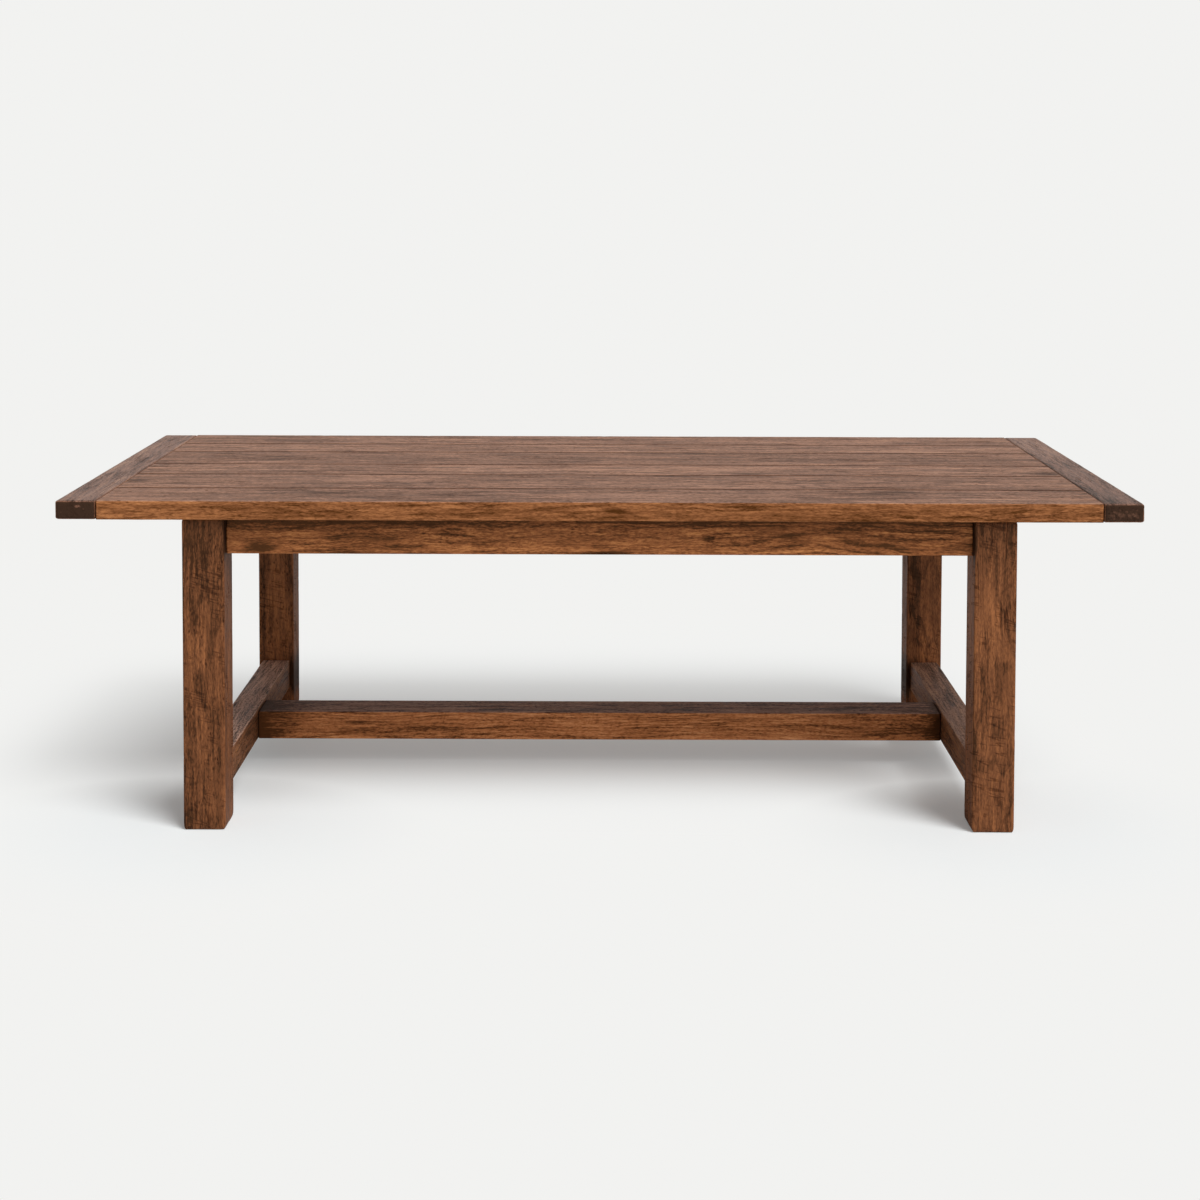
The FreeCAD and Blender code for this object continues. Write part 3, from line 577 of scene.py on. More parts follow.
@dataclass(frozen=True)
class WoodFinish:
    """A stain with the wear it has taken, and the painted sheen and painted light of its upward faces."""

    SHIFTS: ClassVar[Three] = (3.17, 1.31, 2.03)
    PITH_ASIDE: ClassVar[float] = 0.25
    PITH_BELOW: ClassVar[float] = 0.03
    PITH_STEP: ClassVar[float] = 0.012
    TONE_STEP: ClassVar[float] = 2.4

    deep: str
    middle: str
    light: str
    streaks: float = 1.0
    figure: float = 0.25
    blotches: float = 0.4
    knots: float = 1.0
    pores: float = 0.4
    pits: float = 1.0
    checks: float = 1.0
    saw_marks: float = 0.0
    rub: float = 0.15
    end_tone: float = 0.2
    roughness: float = 0.5
    # How much paler upward faces are, for the dust of a worn top and for painted sheen, and how much lighter or
    # darker, which is painted light and painted shade
    top_fade: float = 0.0
    top_value: float = 1.0
    tone_spread: float = 0.06
    sheen_of_wax: float = 0.25
    relief_mm: float = 0.35

    def patches(self, place: Wire, grain: Grain, stains_and_shade: Sequence[StainAndShade]) -> Feed:
        """Adds the timber's own patches together.

        Args:
            place: the object coordinates.
            grain: the axis of the grain.
            stains_and_shade: the patches, of stain and of painted shade and light.

        Returns:
            How much the patches take from the wood's tone.
        """
        total = 0.0
        if stains_and_shade:
            ragged = (place * grain.parted(16.0, 70.0)).noise(1.0, 1.0, 3.0, 0.65) * 0.9 - 0.45
        for stain in stains_and_shade:
            away = (place - metres(*stain.place)) / metres(*stain.reach)
            near = (maths("LENGTH", away) + ragged).fall(0.0, 1.3)
            total = near * stain.depth + total
        return total

    def material(
        self, name: str, low: Vector, high: Vector, grain: Grain, seed: int,
        stains_and_shade: Sequence[StainAndShade] = (), seams: Three = (0.0, 0.0, 0.0),
    ) -> Material:
        """Makes the material of one timber, so that no two timbers show the same grain.

        Args:
            name: the timber's name.
            low: lowest corner of its box.
            high: highest corner of its box.
            grain: the axis of its grain.
            seed: what sets its grain apart.
            stains_and_shade: its own dark and light patches, of stain and of painted shade and light.
            seams: how much dirt lies at its ends, and along its near and its far side.

        Returns:
            The material.
        """
        material, bench = new_material(f"{name}_wood")
        place = bench.add("ShaderNodeTexCoord", output="Object")
        normal = place.beside("Normal")
        centred = place - tuple((low + high) / 2)
        facing = abs(maths("DOT_PRODUCT", normal, grain.parted(1.0, 0.0)))
        upward = maths("DOT_PRODUCT", normal, (0.0, 0.0, 1.0)).ramp(0.5, 0.95)
        half = grain.laid(high - low) / 2
        shift_x, shift_y, shift_z = (seed * step for step in self.SHIFTS)
        aside = self.PITH_ASIDE * (-1 if seed % 2 else 1)
        below = self.PITH_BELOW + self.PITH_STEP * (seed % 5)
        pith = (half.y * aside, -half.z - below) if half.z < half.y else (half.y + below, half.z * aside)
        wood = bench.add("ShaderNodeGroup", held(WOOD, self) | {
            "place": bench.add("ShaderNodeMapping", {"Vector": centred, "Rotation": grain.turn}),
            "half_size": tuple(half),
            "offset": (shift_x, shift_y, shift_z),
            "pith": (0.0, shift_y + pith[0], shift_z + pith[1]),
            "seams": seams,
            "deep": linear(self.deep),
            "middle": linear(self.middle),
            "light": linear(self.light),
            "end_grain": facing.ramp(0.72, 0.93),
            "tone": self.tone_spread * math.sin(seed * self.TONE_STEP),
            # The timber's patches of stain and of painted shade and light
            "stained": self.patches(place, grain, stains_and_shade),
            "upward": upward,
        }, node_tree=WOOD)
        relief = {"Height": wood.beside("height"), "Distance": self.relief_mm / 1000, "Strength": 1.0}
        colour = wood
        # Painted sheen and painted light: upward faces, and end faces by half, are made paler, partly for the dust of
        # a worn top and partly standing in for sheen, and upward faces lighter or darker by the finish's level of
        # painted light
        if self.top_fade:
            dust_and_sheen_saturation = most(upward, facing * 0.5) * -self.top_fade + 1.0
            painted_light_value = upward * (self.top_value - 1.0) + 1.0
            colour = bench.add("ShaderNodeHueSaturation", {"Saturation": dust_and_sheen_saturation, "Value": painted_light_value, "Color": wood})
        bench.coated({
            "Base Color": colour,
            "Roughness": wood.beside("roughness"),
            "Normal": bench.add("ShaderNodeBump", relief),
            "Specular IOR Level": self.sheen_of_wax,
        })
        return material


@dataclass(frozen=True)
class SteelFinish:
    """Dulled zinc on the hidden screws."""

    bright: str = "9a9791"
    dull: str = "5f5b55"

    def material(self, name: str) -> Material:
        """Makes the screws' material.

        Args:
            name: the material's name.

        Returns:
            The material.
        """
        material, bench = new_material(name)
        spots = bench.add("ShaderNodeTexCoord", output="Object").noise(420.0, 420.0, 3.0, 0.6)
        bench.coated({
            "Base Color": bench.mixed(spots.ramp(0.35, 0.65), linear(self.dull), linear(self.bright)),
            "Roughness": spots.ramp(0.3, 0.7, 0.62, 0.38),
            "Metallic": 1.0,
        })
        return material


# The planks' upward faces are made paler: dust and painted sheen
TOP_WOOD = WoodFinish(
    deep="4e2c10", middle="865433", light="bd7e4f", streaks=0.66, figure=0.3, blotches=0.2, knots=0.8, pits=0.8,
    checks=0.8, rub=0.12, top_fade=0.24, roughness=0.47, sheen_of_wax=0.02, relief_mm=0.3,
)
# Painted shade darkens the breadboards' upward faces
BOARD_WOOD = WoodFinish(
    deep="3b2414", middle="835236", light="b37a4c", streaks=0.45, figure=0.2, blotches=0.2, knots=0.3, pits=0.6,
    checks=0.8, rub=0.08, end_tone=0.06, top_fade=0.33, top_value=0.9, roughness=0.48, sheen_of_wax=0.04,
    relief_mm=0.3,
)
LEG_WOOD = WoodFinish(
    deep="3e2411", middle="71452a", light="a0663e", streaks=0.65, figure=0.35, blotches=0.15, knots=0.5, pits=0.8,
    saw_marks=1.0, rub=0.12, roughness=0.6, sheen_of_wax=0.09, relief_mm=0.5,
)
APRON_WOOD = WoodFinish(
    deep="4b2c14", middle="8b5431", light="c5834f", streaks=0.75, figure=0.36, blotches=0.15, pits=0.8, checks=0.6,
    saw_marks=0.3, rub=0.08, roughness=0.55, sheen_of_wax=0.07, relief_mm=0.4,
)
# Painted shade darkens the centre stretcher's top, which lies under the table
CENTRE_WOOD = WoodFinish(
    deep="522f16", middle="b06e43", light="dd9a68", streaks=0.62, figure=0.24, blotches=0.15, knots=0.6, pits=0.8,
    checks=0.8, saw_marks=0.4, rub=0.12, top_fade=0.33, top_value=0.82, roughness=0.6, sheen_of_wax=0.05,
    relief_mm=0.5,
)
# Painted light lifts the side stretchers' tops, where the table's shadow falls
SIDE_WOOD = WoodFinish(
    deep="3c2412", middle="7c5034", light="a27049", streaks=0.75, figure=0.3, blotches=0.35, knots=0.6, pits=0.8,
    checks=0.9, saw_marks=0.5, top_fade=0.33, top_value=2.1, roughness=0.55, sheen_of_wax=0.1, relief_mm=0.5,
)
INNER_WOOD = WoodFinish(
    deep="6b4a30", middle="a67f58", light="c9a57c", streaks=0.8, figure=0.3, blotches=0.15, knots=0.5, pits=0.2,
    checks=0.3, saw_marks=0.6, rub=0.05, end_tone=0.4, roughness=0.62, relief_mm=0.3,
)


def linked(name: str, data: ID) -> Object:
    """Puts a new object into the scene.

    Args:
        name: its name.
        data: its mesh, light or camera.

    Returns:
        The object.
    """
    holder = bpy.data.objects.new(name, data)
    bpy.context.scene.collection.objects.link(holder)
    return holder


def grown(name: str, tree: NodeTree, values: dict[str, Feed], points: Mesh | None = None) -> Object:
    """Runs a Geometry Nodes tree and keeps what it makes as a plain mesh.

    Args:
        name: the piece's name.
        tree: the tree to run.
        values: the tree's inputs by name.
        points: the mesh that the tree starts from, where it needs one.

    Returns:
        The piece, at the origin and without a modifier.
    """
    piece = linked(name, points or bpy.data.meshes.new(name))
    modifier = piece.modifiers.new("make", "NODES")
    modifier.node_group = tree
    for item in tree.interface.items_tree:
        if item.in_out == "INPUT" and item.name in values:
            modifier[item.identifier] = values[item.name]
    evaluated = piece.evaluated_get(bpy.context.evaluated_depsgraph_get())
    mesh = bpy.data.meshes.new_from_object(evaluated)
    piece.modifiers.clear()
    piece.data = mesh
    mesh.name = piece.name
    return piece


def placed(piece: Object, node: str) -> Object:
    """Lets a piece ride on the body and stand for its node.

    Args:
        piece: the finished piece.
        node: the CAD node that it stands for.

    Returns:
        The piece.
    """
    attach(piece, "root")
    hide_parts(node)
    log.info("%s: %d faces", piece.name, len(piece.data.polygons))
    return piece


class TimberTree:
    """Geometry Nodes that shape one timber: eased arrises, worn corners, slow waves and dents."""

    EDGE_CELLS = 4
    WAVES = (2.5, 22.0)
    SEED_STEP = (7.3, 3.1, 5.7)
    INPUTS = {
        "Vector": "size centre arris_low arris_high wave_scale core_size core_centre",
        "Int": "cells_x cells_y cells_z seed",
        "Float": "wear chips wave_depth dent_depth",
        "Bool": "has_core",
        "Material": "material",
    }

    def build(self) -> NodeTree:
        """Builds the tree.

        Returns:
            The Geometry Nodes tree.
        """
        bench = new_group("GeometryNodeTree", "worn_timber", self.INPUTS, {"Geometry": "timber"})
        given = bench.given()
        counts = (given.cells_x, given.cells_y, given.cells_z)
        block = bench.add("GeometryNodeMeshCube", {"Size": given.size, **dict(enumerate(counts, 1))})

        # The cells crowd together near the arrises
        none, full = (0.0, 0.0, 0.0), (1.0, 1.0, 1.0)
        place = bench.add("GeometryNodeInputPosition")
        half = given.size * 0.5
        counted = bench.add("ShaderNodeCombineXYZ", dict(enumerate(counts)))
        start = 1.0 - maths("DIVIDE", 2.0 * self.EDGE_CELLS, counted - 1.0)
        zone = most(given.arris_low, given.arris_high) * 2.0
        share = abs(place) / half
        side = maths("SIGN", place)
        spread = (share.fitted(none, start, none, half - zone) + share.fitted(start, full, none, zone)) * side

        # Each side has its own arris, which wear and chips open up
        here = place + given.seed * self.SEED_STEP
        arris = bench.add(
            "ShaderNodeMix", {1: (side + 1.0) * 0.5, 4: given.arris_low, 5: given.arris_high}, 1,
            data_type="VECTOR", factor_mode="NON_UNIFORM",
        )
        rubbing = here.noise(11.0, 11.0, 3.0) * 2.0 - 1.0
        chipped = here.noise(42.0, 42.0).ramp(0.6, 0.74)
        opened = chipped * given.chips + (rubbing * given.wear + 1.0)
        arris = least(arris * opened, zone)
        limit = half - arris
        inner = least(most(spread, limit * -1.0), limit)
        outward = maths("NORMALIZE", (spread - inner) / arris)

        # Waves and dents only take wood away
        wave = (here * given.wave_scale).noise(1.0, 1.0)
        dented = here.cells(9.0, 9.0).fall(0.03, 0.16)
        taken = dented * given.dent_depth + wave * given.wave_depth
        surface = inner + outward * arris - outward * taken + given.centre
        worn = bench.add("GeometryNodeSetPosition", {"Geometry": block, "Position": surface})

        # Tongues and tenons reach on into the neighbours
        core = bench.add("GeometryNodeMeshCube", {"Size": given.core_size})
        core = bench.add("GeometryNodeTransform", {"Geometry": core, "Translation": given.core_centre})
        core = bench.add("GeometryNodeSwitch", {"Switch": given.has_core, "True": core}, input_type="GEOMETRY")
        joined = bench.add("GeometryNodeJoinGeometry", {0: [core, worn]})
        smooth = bench.add("GeometryNodeSetShadeSmooth", {"Geometry": joined, "Shade Smooth": True})
        return bench.shown(smooth, given.material)


@dataclass
class Timber:
    """One timber of the table and the CAD node that it stands for."""

    node: str
    slot: str
    grain: Grain
    finish: WoodFinish
    seed: int
    low: Vector
    high: Vector
    arris_low: Three
    arris_high: Three
    core_low: Vector | None = None
    core_high: Vector | None = None
    cell: float = 0.008
    wear: float = 0.35
    chips: float = 0.5
    wave_depth: float = 0.0006
    dent_depth: float = 0.0005
    seams: Three = (0.0, 0.0, 0.0)

    def make(self, tree: NodeTree) -> Object:
        """Builds the timber, dresses it and lets it stand for its node.

        Args:
            tree: the worn timber tree.

        Returns:
            The finished piece.
        """
        size = self.high - self.low
        counts = [2 * TimberTree.EDGE_CELLS + 1 + max(2, round(part / self.cell)) for part in size]
        has_core = self.core_low is not None
        core_low, core_high = (self.core_low, self.core_high) if has_core else (self.low, self.high)
        stains_and_shade = STAINS_AND_SHADE.get(self.node, ())
        wood = self.finish.material(self.node, self.low, self.high, self.grain, self.seed, stains_and_shade, self.seams)
        values = held(tree, self) | {
            "size": tuple(size),
            "centre": tuple((self.low + self.high) / 2),
            **dict(zip(("cells_x", "cells_y", "cells_z"), counts)),
            "wave_scale": self.grain.parted(*TimberTree.WAVES),
            "has_core": has_core,
            "core_size": tuple(core_high - core_low),
            "core_centre": tuple((core_low + core_high) / 2),
            "material": wood,
        }
        return placed(grown(f"{self.node}_worn", tree, values), self.node)


class TimberWork:
    """A sub-assembly that is made of timbers."""

    def timbers(self) -> list[Timber]:
        """The timbers in order, not yet built."""
        raise NotImplementedError

    def make(self, tree: NodeTree) -> list[Object]:
        """Builds the timbers, given the worn timber tree, and returns the pieces."""
        return [timber.make(tree) for timber in self.timbers()]


@dataclass
class TableTop(TimberWork):
    """Six planks between two breadboard ends."""

    planks: int = 6
    end_tenon: float = 0.060
    edge_tongue: float = 0.0095
    end_tongue: float = 0.018
    tongue_half: float = 0.005
    front_inset: float = 0.030
    back_inset: float = 0.035
    dirt: float = 1.0
    board_dirt: float = 0.25
    edge_wear: float = 0.6
    edge_chips: float = 1.4
    board_wear: float = 0.2
    board_chips: float = 0.3
    outer_arris: float = 4.0
    seam_arris: float = 2.5
    face_arris: float = 3.5
    end_arris: float = 1.6
    board_arris: float = 6.0
    board_corner: float = 9.0
    plank_seed: int = 11
    board_seed: int = 31

    def timbers(self) -> list[Timber]:
        """The planks from the front edge to the back, then the left and the right end."""
        planks = [self.plank(number) for number in range(1, self.planks + 1)]
        return planks + [self.board("breadboard_left", -1), self.board("breadboard_right", 1)]

    def plank(self, number: int) -> Timber:
        """One plank, counted from the front edge.

        Args:
            number: 1 for the plank at the front edge.

        Returns:
            The plank, not yet built.
        """
        node = f"plank_{number}"
        low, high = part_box(node)
        low.x, high.x = low.x + self.end_tenon, high.x - self.end_tenon
        first, last = number == 1, number == self.planks
        high.y -= 0.0 if last else self.edge_tongue
        middle = (low.z + high.z) / 2
        core_low = Vector((low.x - self.end_tongue, low.y + self.front_inset, middle - self.tongue_half))
        core_high = Vector((high.x + self.end_tongue, high.y, middle + self.tongue_half))
        core_high.y += -self.back_inset if last else self.edge_tongue
        front = self.outer_arris if first else self.seam_arris
        back = self.outer_arris if last else self.seam_arris
        worn = {"wear": self.edge_wear, "chips": self.edge_chips} if first or last else {}
        return Timber(
            node, "top_wood", Grain.ALONG_X, TOP_WOOD, self.plank_seed + number, low, high,
            metres(self.end_arris, front, self.face_arris), metres(self.end_arris, back, self.face_arris),
            core_low, core_high, seams=(self.dirt, 0.0 if first else self.dirt, 0.0 if last else self.dirt), **worn,
        )

    def board(self, node: str, side: int) -> Timber:
        """One breadboard end.

        Args:
            node: the CAD node's name.
            side: -1 at the left end, 1 at the right.

        Returns:
            The board, not yet built.
        """
        inner = metres(self.end_arris, self.board_corner, self.board_arris)
        outer = metres(self.board_corner, self.board_corner, self.board_arris)
        pair = (inner, outer) if side > 0 else (outer, inner)
        return Timber(
            node, "top_wood", Grain.ALONG_Y, BOARD_WOOD, self.board_seed + side, *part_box(node), *pair,
            wear=self.board_wear, chips=self.board_chips,
            seams=(0.0, 0.0, self.board_dirt) if side > 0 else (0.0, self.board_dirt, 0.0),
        )


@dataclass
class LegSet(TimberWork):
    """Four square legs."""

    arris: float = 5.0
    foot: float = 16.0
    seed: int = 41

    def timbers(self) -> list[Timber]:
        """Sets out the legs, whose feet are eased the most.

        Returns:
            The legs in order, not yet built.
        """
        low, high = metres(self.arris, self.arris, self.foot), metres(self.arris, self.arris, self.arris)
        return [
            Timber(
                node, "base_wood", Grain.ALONG_Z, LEG_WOOD, self.seed + number, *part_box(node), low, high,
                cell=0.006, wave_depth=0.0009, dent_depth=0.0008,
            )
            for number, node in enumerate(f"leg_{corner}" for corner in CORNERS)
        ]


@dataclass(frozen=True)
class RailKind:
    """What the rails of one kind share: stain, tenons and long arrises."""

    finish: WoodFinish
    tenon: float
    thickness: float
    shoulders: float
    arris: float


APRON = RailKind(APRON_WOOD, tenon=0.044, thickness=0.012, shoulders=0.030, arris=2.0)
SIDE = RailKind(SIDE_WOOD, tenon=0.050, thickness=0.026, shoulders=0.024, arris=3.0)
# The right side stretcher takes its own, darker level of painted light on its top
RIGHT_SIDE = replace(SIDE, finish=replace(SIDE_WOOD, top_fade=0.2, top_value=0.9))
CENTRE = RailKind(CENTRE_WOOD, tenon=0.042, thickness=0.066, shoulders=0.028, arris=3.0)


@dataclass
class Rails(TimberWork):
    """Aprons and stretchers: straight rails whose tenons reach into their neighbours."""

    end_arris: float = 3.0
    end_dirt: float = 0.8
    tenon_inset: float = 0.020
    seed: int = 61

    def timbers(self) -> list[Timber]:
        """Sets out the four aprons and the three stretchers.

        Returns:
            The rails in order, not yet built.
        """
        rails = (
            ("apron_front", Grain.ALONG_X, APRON),
            ("apron_back", Grain.ALONG_X, APRON),
            ("apron_left", Grain.ALONG_Y, APRON),
            ("apron_right", Grain.ALONG_Y, APRON),
            ("side_stretcher_left", Grain.ALONG_Y, SIDE),
            ("side_stretcher_right", Grain.ALONG_Y, RIGHT_SIDE),
            ("centre_stretcher", Grain.ALONG_X, CENTRE),
        )
        return [self.rail(*rail, self.seed + number) for number, rail in enumerate(rails)]

    def rail(self, node: str, grain: Grain, kind: RailKind, seed: int) -> Timber:
        """One rail.

        Args:
            node: the CAD node's name.
            grain: the axis that it runs along.
            kind: what it shares with its like.
            seed: what sets its grain apart.

        Returns:
            The rail, not yet built.
        """
        low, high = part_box(node)
        axis, across = grain.axis, 1 - grain.axis
        core_low, core_high = low.copy(), high.copy()
        middle = (low[across] + high[across]) / 2
        core_low[across], core_high[across] = middle - kind.thickness / 2, middle + kind.thickness / 2
        core_low.z, core_high.z = low.z + kind.shoulders / 2, high.z - kind.shoulders / 2
        core_low[axis], core_high[axis] = low[axis] + self.tenon_inset, high[axis] - self.tenon_inset
        low[axis], high[axis] = low[axis] + kind.tenon, high[axis] - kind.tenon
        eased = metres(*grain.parted(self.end_arris, kind.arris))
        return Timber(
            node, "base_wood", grain, kind.finish, seed, low, high, eased, eased, core_low, core_high,
            wave_depth=0.0005, seams=(self.end_dirt, 0.0, 0.0),
        )


@dataclass
class Battens(TimberWork):
    """The battens under the top, in their dovetails."""

    dovetail: float = 0.012
    dovetail_half: float = 0.013
    end_inset: float = 0.002
    top_inset: float = 0.001
    arris_low: Three = (3.0, 1.5, 3.0)
    arris_high: Three = (3.0, 1.5, 1.0)
    seed: int = 81

    def timbers(self) -> list[Timber]:
        """The three battens from left to right."""
        nodes = ("top_batten_left", "top_batten_middle", "top_batten_right")
        return [self.batten(node, self.seed + number) for number, node in enumerate(nodes)]

    def batten(self, node: str, seed: int) -> Timber:
        """One batten.

        Args:
            node: the CAD node's name.
            seed: what sets its grain apart.

        Returns:
            The batten, not yet built.
        """
        low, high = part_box(node)
        middle = (low.x + high.x) / 2
        foot = high.z - 2 * self.dovetail
        core_low = Vector((middle - self.dovetail_half, low.y + self.end_inset, foot))
        core_high = Vector((middle + self.dovetail_half, high.y - self.end_inset, high.z - self.top_inset))
        high.z -= self.dovetail
        return Timber(
            node, "inner_wood", Grain.ALONG_Y, INNER_WOOD, seed, low, high,
            metres(*self.arris_low), metres(*self.arris_high), core_low, core_high,
            cell=0.012, chips=0.1, wave_depth=0.0003, dent_depth=0.0002,
        )


WELD = 1e-6
HEAD_MARGIN = 1e-4


@dataclass
class Fastener:
    """Where one peg or screw stands: its foot or head, and the way it points."""

    place: Vector
    aim: Vector
    length: float


def solids(node: str) -> list[list[Vector]]:
    """Parts a CAD node's mesh into its separate solids.

    Args:
        node: the CAD node's name.

    Returns:
        The corners of each solid.
    """
    shell = bmesh.new()
    shell.from_mesh(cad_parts[node].data)
    bmesh.ops.remove_doubles(shell, verts=shell.verts, dist=WELD)
    unseen, found = dict.fromkeys(shell.verts), []
    while unseen:
        stack, solid = [unseen.popitem()[0]], []
        while stack:
            vertex = stack.pop()
            solid.append(vertex.co.copy())
            others = [edge.other_vert(vertex) for edge in vertex.link_edges]
            stack += [other for other in others if unseen.pop(other, vertex) is None]
        found.append(solid)
    shell.free()
    return found


def fastener(solid: list[Vector]) -> Fastener:
    """Finds the place of one fastener.

    Args:
        solid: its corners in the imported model.

    Returns:
        Where it stands, with a screw's wide end as its head.
    """
    low, high = [Vector([end(point[axis] for point in solid) for axis in range(3)]) for end in (min, max)]
    size, middle = high - low, (low + high) / 2
    axis = max(range(3), key=lambda number: size[number])
    aim = Vector([float(number == axis) for number in range(3)])
    reach = [0.0, 0.0]
    for point in solid:
        away = point - middle
        far = away[axis] > 0
        reach[far] = max(reach[far], (away - aim * away.dot(aim)).length)
    aim = -aim if reach[1] > reach[0] + HEAD_MARGIN else aim
    return Fastener(middle - aim * size[axis] / 2, aim, size[axis])


class FastenerTree:
    """Geometry Nodes that set one shape on every place, aimed along the place's own axis."""

    PEG_SIDES, HEAD_SIDES, SHANK_SIDES = 8, 28, 16
    TIP_RADIUS = 0.0002
    SHARED = {"Geometry": "points", "Int": "seed", "Material": "material"}

    def points(self, name: str, places: list[Fastener]) -> Mesh:
        """Makes the mesh of loose points that the tree starts from.

        Args:
            name: the mesh's name.
            places: where the fasteners stand.

        Returns:
            The mesh, with the way each point aims as an attribute.
        """
        mesh = bpy.data.meshes.new(name)
        mesh.from_pydata([tuple(each.place) for each in places], [], [])
        aim = mesh.attributes.new("aim", "FLOAT_VECTOR", "POINT")
        aim.data.foreach_set("vector", [part for each in places for part in each.aim])
        return mesh

    def stand(self, bench: NodeBench, given: SimpleNamespace, shape: Wire, twist: float) -> NodeTree:
        """Sets a shape on every point and finishes the tree.

        Args:
            bench: the tree's bench.
            given: what the tree is given.
            shape: the shape, whose foot is at the origin and which points up.
            twist: the largest turn of each one about its axis.

        Returns:
            The finished tree.
        """
        aim = bench.add("GeometryNodeInputNamedAttribute", {"Name": "aim"}, data_type="FLOAT_VECTOR")
        toward = bench.add("FunctionNodeAlignRotationToVector", {"Vector": aim}, axis="Z")
        limits = {2: 0.0, 3: twist, "Seed": given.seed}
        chance = bench.add("FunctionNodeRandomValue", limits, 1, data_type="FLOAT")
        spun = bench.add("FunctionNodeAxisAngleToRotation", {"Axis": (0.0, 0.0, 1.0), "Angle": chance})
        turn = bench.add("FunctionNodeRotateRotation", {0: toward, 1: spun}, rotation_space="LOCAL")
        inputs = {"Points": given.points, "Instance": shape, "Rotation": turn}
        stood = bench.add("GeometryNodeInstanceOnPoints", inputs)
        return bench.shown(stood, given.material)

    def raised(self, shape: Wire, height: Feed) -> Wire:
        """Lifts a shape."""
        up = shape.bench.add("ShaderNodeCombineXYZ", {2: height})
        return shape.bench.add("GeometryNodeTransform", {"Geometry": shape, "Translation": up})

    def cylinder(self, sides: int, radius: Wire, low: Feed, length: Wire) -> Wire:
        """An upright cylinder whose foot lies at a height."""
        inputs = {"Vertices": sides, "Radius": radius, "Depth": length}
        return self.raised(radius.bench.add("GeometryNodeMeshCylinder", inputs), length * 0.5 + low)

    def pegs(self) -> NodeTree:
        """Builds the tree of riven pegs with eased feet.

        Returns:
            The Geometry Nodes tree.
        """
        inputs = self.SHARED | {"Float": "peg_radius peg_ease length"}
        bench = new_group("GeometryNodeTree", "riven_pegs", inputs, {"Geometry": "pegs"})
        given = bench.given()
        radius, ease = given.peg_radius, given.peg_ease
        foot = bench.add("GeometryNodeMeshCone", {
            "Vertices": self.PEG_SIDES, "Radius Top": radius, "Radius Bottom": radius - ease, "Depth": ease,
        })
        shaft = self.cylinder(self.PEG_SIDES, radius, ease, given.length - ease)
        peg = bench.add("GeometryNodeMeshBoolean", {"Mesh 2": [foot, shaft]}, operation="UNION")
        return self.stand(bench, given, peg, twist=0.0)

    def screws(self) -> NodeTree:
        """Builds the tree of slotted wood screws.

        Returns:
            The Geometry Nodes tree.
        """
        inputs = self.SHARED | {"Float": "head_radius head_height shank_radius slot_width slot_depth length"}
        bench = new_group("GeometryNodeTree", "wood_screws", inputs, {"Geometry": "screws"})
        given = bench.given()
        radius, height, length = given.head_radius, given.head_height, given.length
        head = self.cylinder(self.HEAD_SIDES, radius, 0.0, height)
        bar = {0: radius * 3.0, 1: given.slot_width, 2: given.slot_depth * 2.0}
        slot = bench.add("GeometryNodeMeshCube", {"Size": bench.add("ShaderNodeCombineXYZ", bar)})
        cut = bench.add("GeometryNodeMeshBoolean", {"Mesh 1": head, "Mesh 2": slot}, operation="DIFFERENCE")
        tip = given.shank_radius * 3.0
        shank = self.cylinder(self.SHANK_SIDES, given.shank_radius, height, length - height - tip)
        cone = bench.add("GeometryNodeMeshCone", {
            "Vertices": self.SHANK_SIDES, "Radius Top": self.TIP_RADIUS, "Radius Bottom": given.shank_radius,
            "Depth": tip,
        })
        screw = bench.add("GeometryNodeJoinGeometry", {0: [self.raised(cone, length - tip), shank, cut]})
        return self.stand(bench, given, screw, twist=math.tau)


@dataclass
class Fixings:
    """What holds the table together out of sight: pegs, screws, buttons and corner blocks."""

    peg_radius: float = 0.005
    peg_ease: float = 0.001
    head_radius: float = 0.005
    head_height: float = 0.003
    shank_radius: float = 0.0025
    slot_width: float = 0.0012
    slot_depth: float = 0.0014
    peg_seed: int = 91
    kept_seed: int = 101
    steel: SteelFinish = field(default_factory=SteelFinish)
    maker: FastenerTree = field(default_factory=FastenerTree)

    def make(self) -> list[Object]:
        """Builds the pegs and screws and dresses the blocks and buttons.

        Returns:
            The new pieces.
        """
        peg_tree, screw_tree = self.maker.pegs(), self.maker.screws()
        steel = self.steel.material("dulled_zinc")
        made = []
        for seed, node in enumerate(("breadboard_pegs", "stretcher_pegs")):
            wood = INNER_WOOD.material(node, *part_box(node), Grain.ALONG_Z, self.peg_seed + seed)
            made.append(placed(self.set_out(f"{node}_riven", node, peg_tree, seed, wood), node))
        for seed, node in enumerate(("button_screws", "corner_block_screws")):
            made.append(placed(self.set_out(f"{node}_slotted", node, screw_tree, seed, steel), node))
        self.dress_kept()
        return made

    def set_out(self, name: str, node: str, tree: NodeTree, seed: int, material: Material) -> Object:
        """Sets fasteners on the places where a CAD node has them.

        Args:
            name: the piece's name.
            node: the CAD node's name.
            tree: the tree that makes them.
            seed: the seed of each one's own turn about its axis.
            material: what they are made of.

        Returns:
            The piece.
        """
        places = [fastener(solid) for solid in solids(node)]
        values = held(tree, self) | {"length": places[0].length, "seed": seed, "material": material}
        return grown(name, tree, values, self.maker.points(name, places))

    def dress_kept(self) -> None:
        """Gives the CAD nodes that stay their wood."""
        kept = {"top_buttons": Grain.ALONG_X} | {f"corner_block_{corner}": Grain.ALONG_Z for corner in CORNERS}
        for number, (node, grain) in enumerate(kept.items()):
            wood = INNER_WOOD.material(node, *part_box(node), grain, self.kept_seed + number)
            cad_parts[node].data.materials.clear()
            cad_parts[node].data.materials.append(wood)
            log.info("%s: dressed", node)


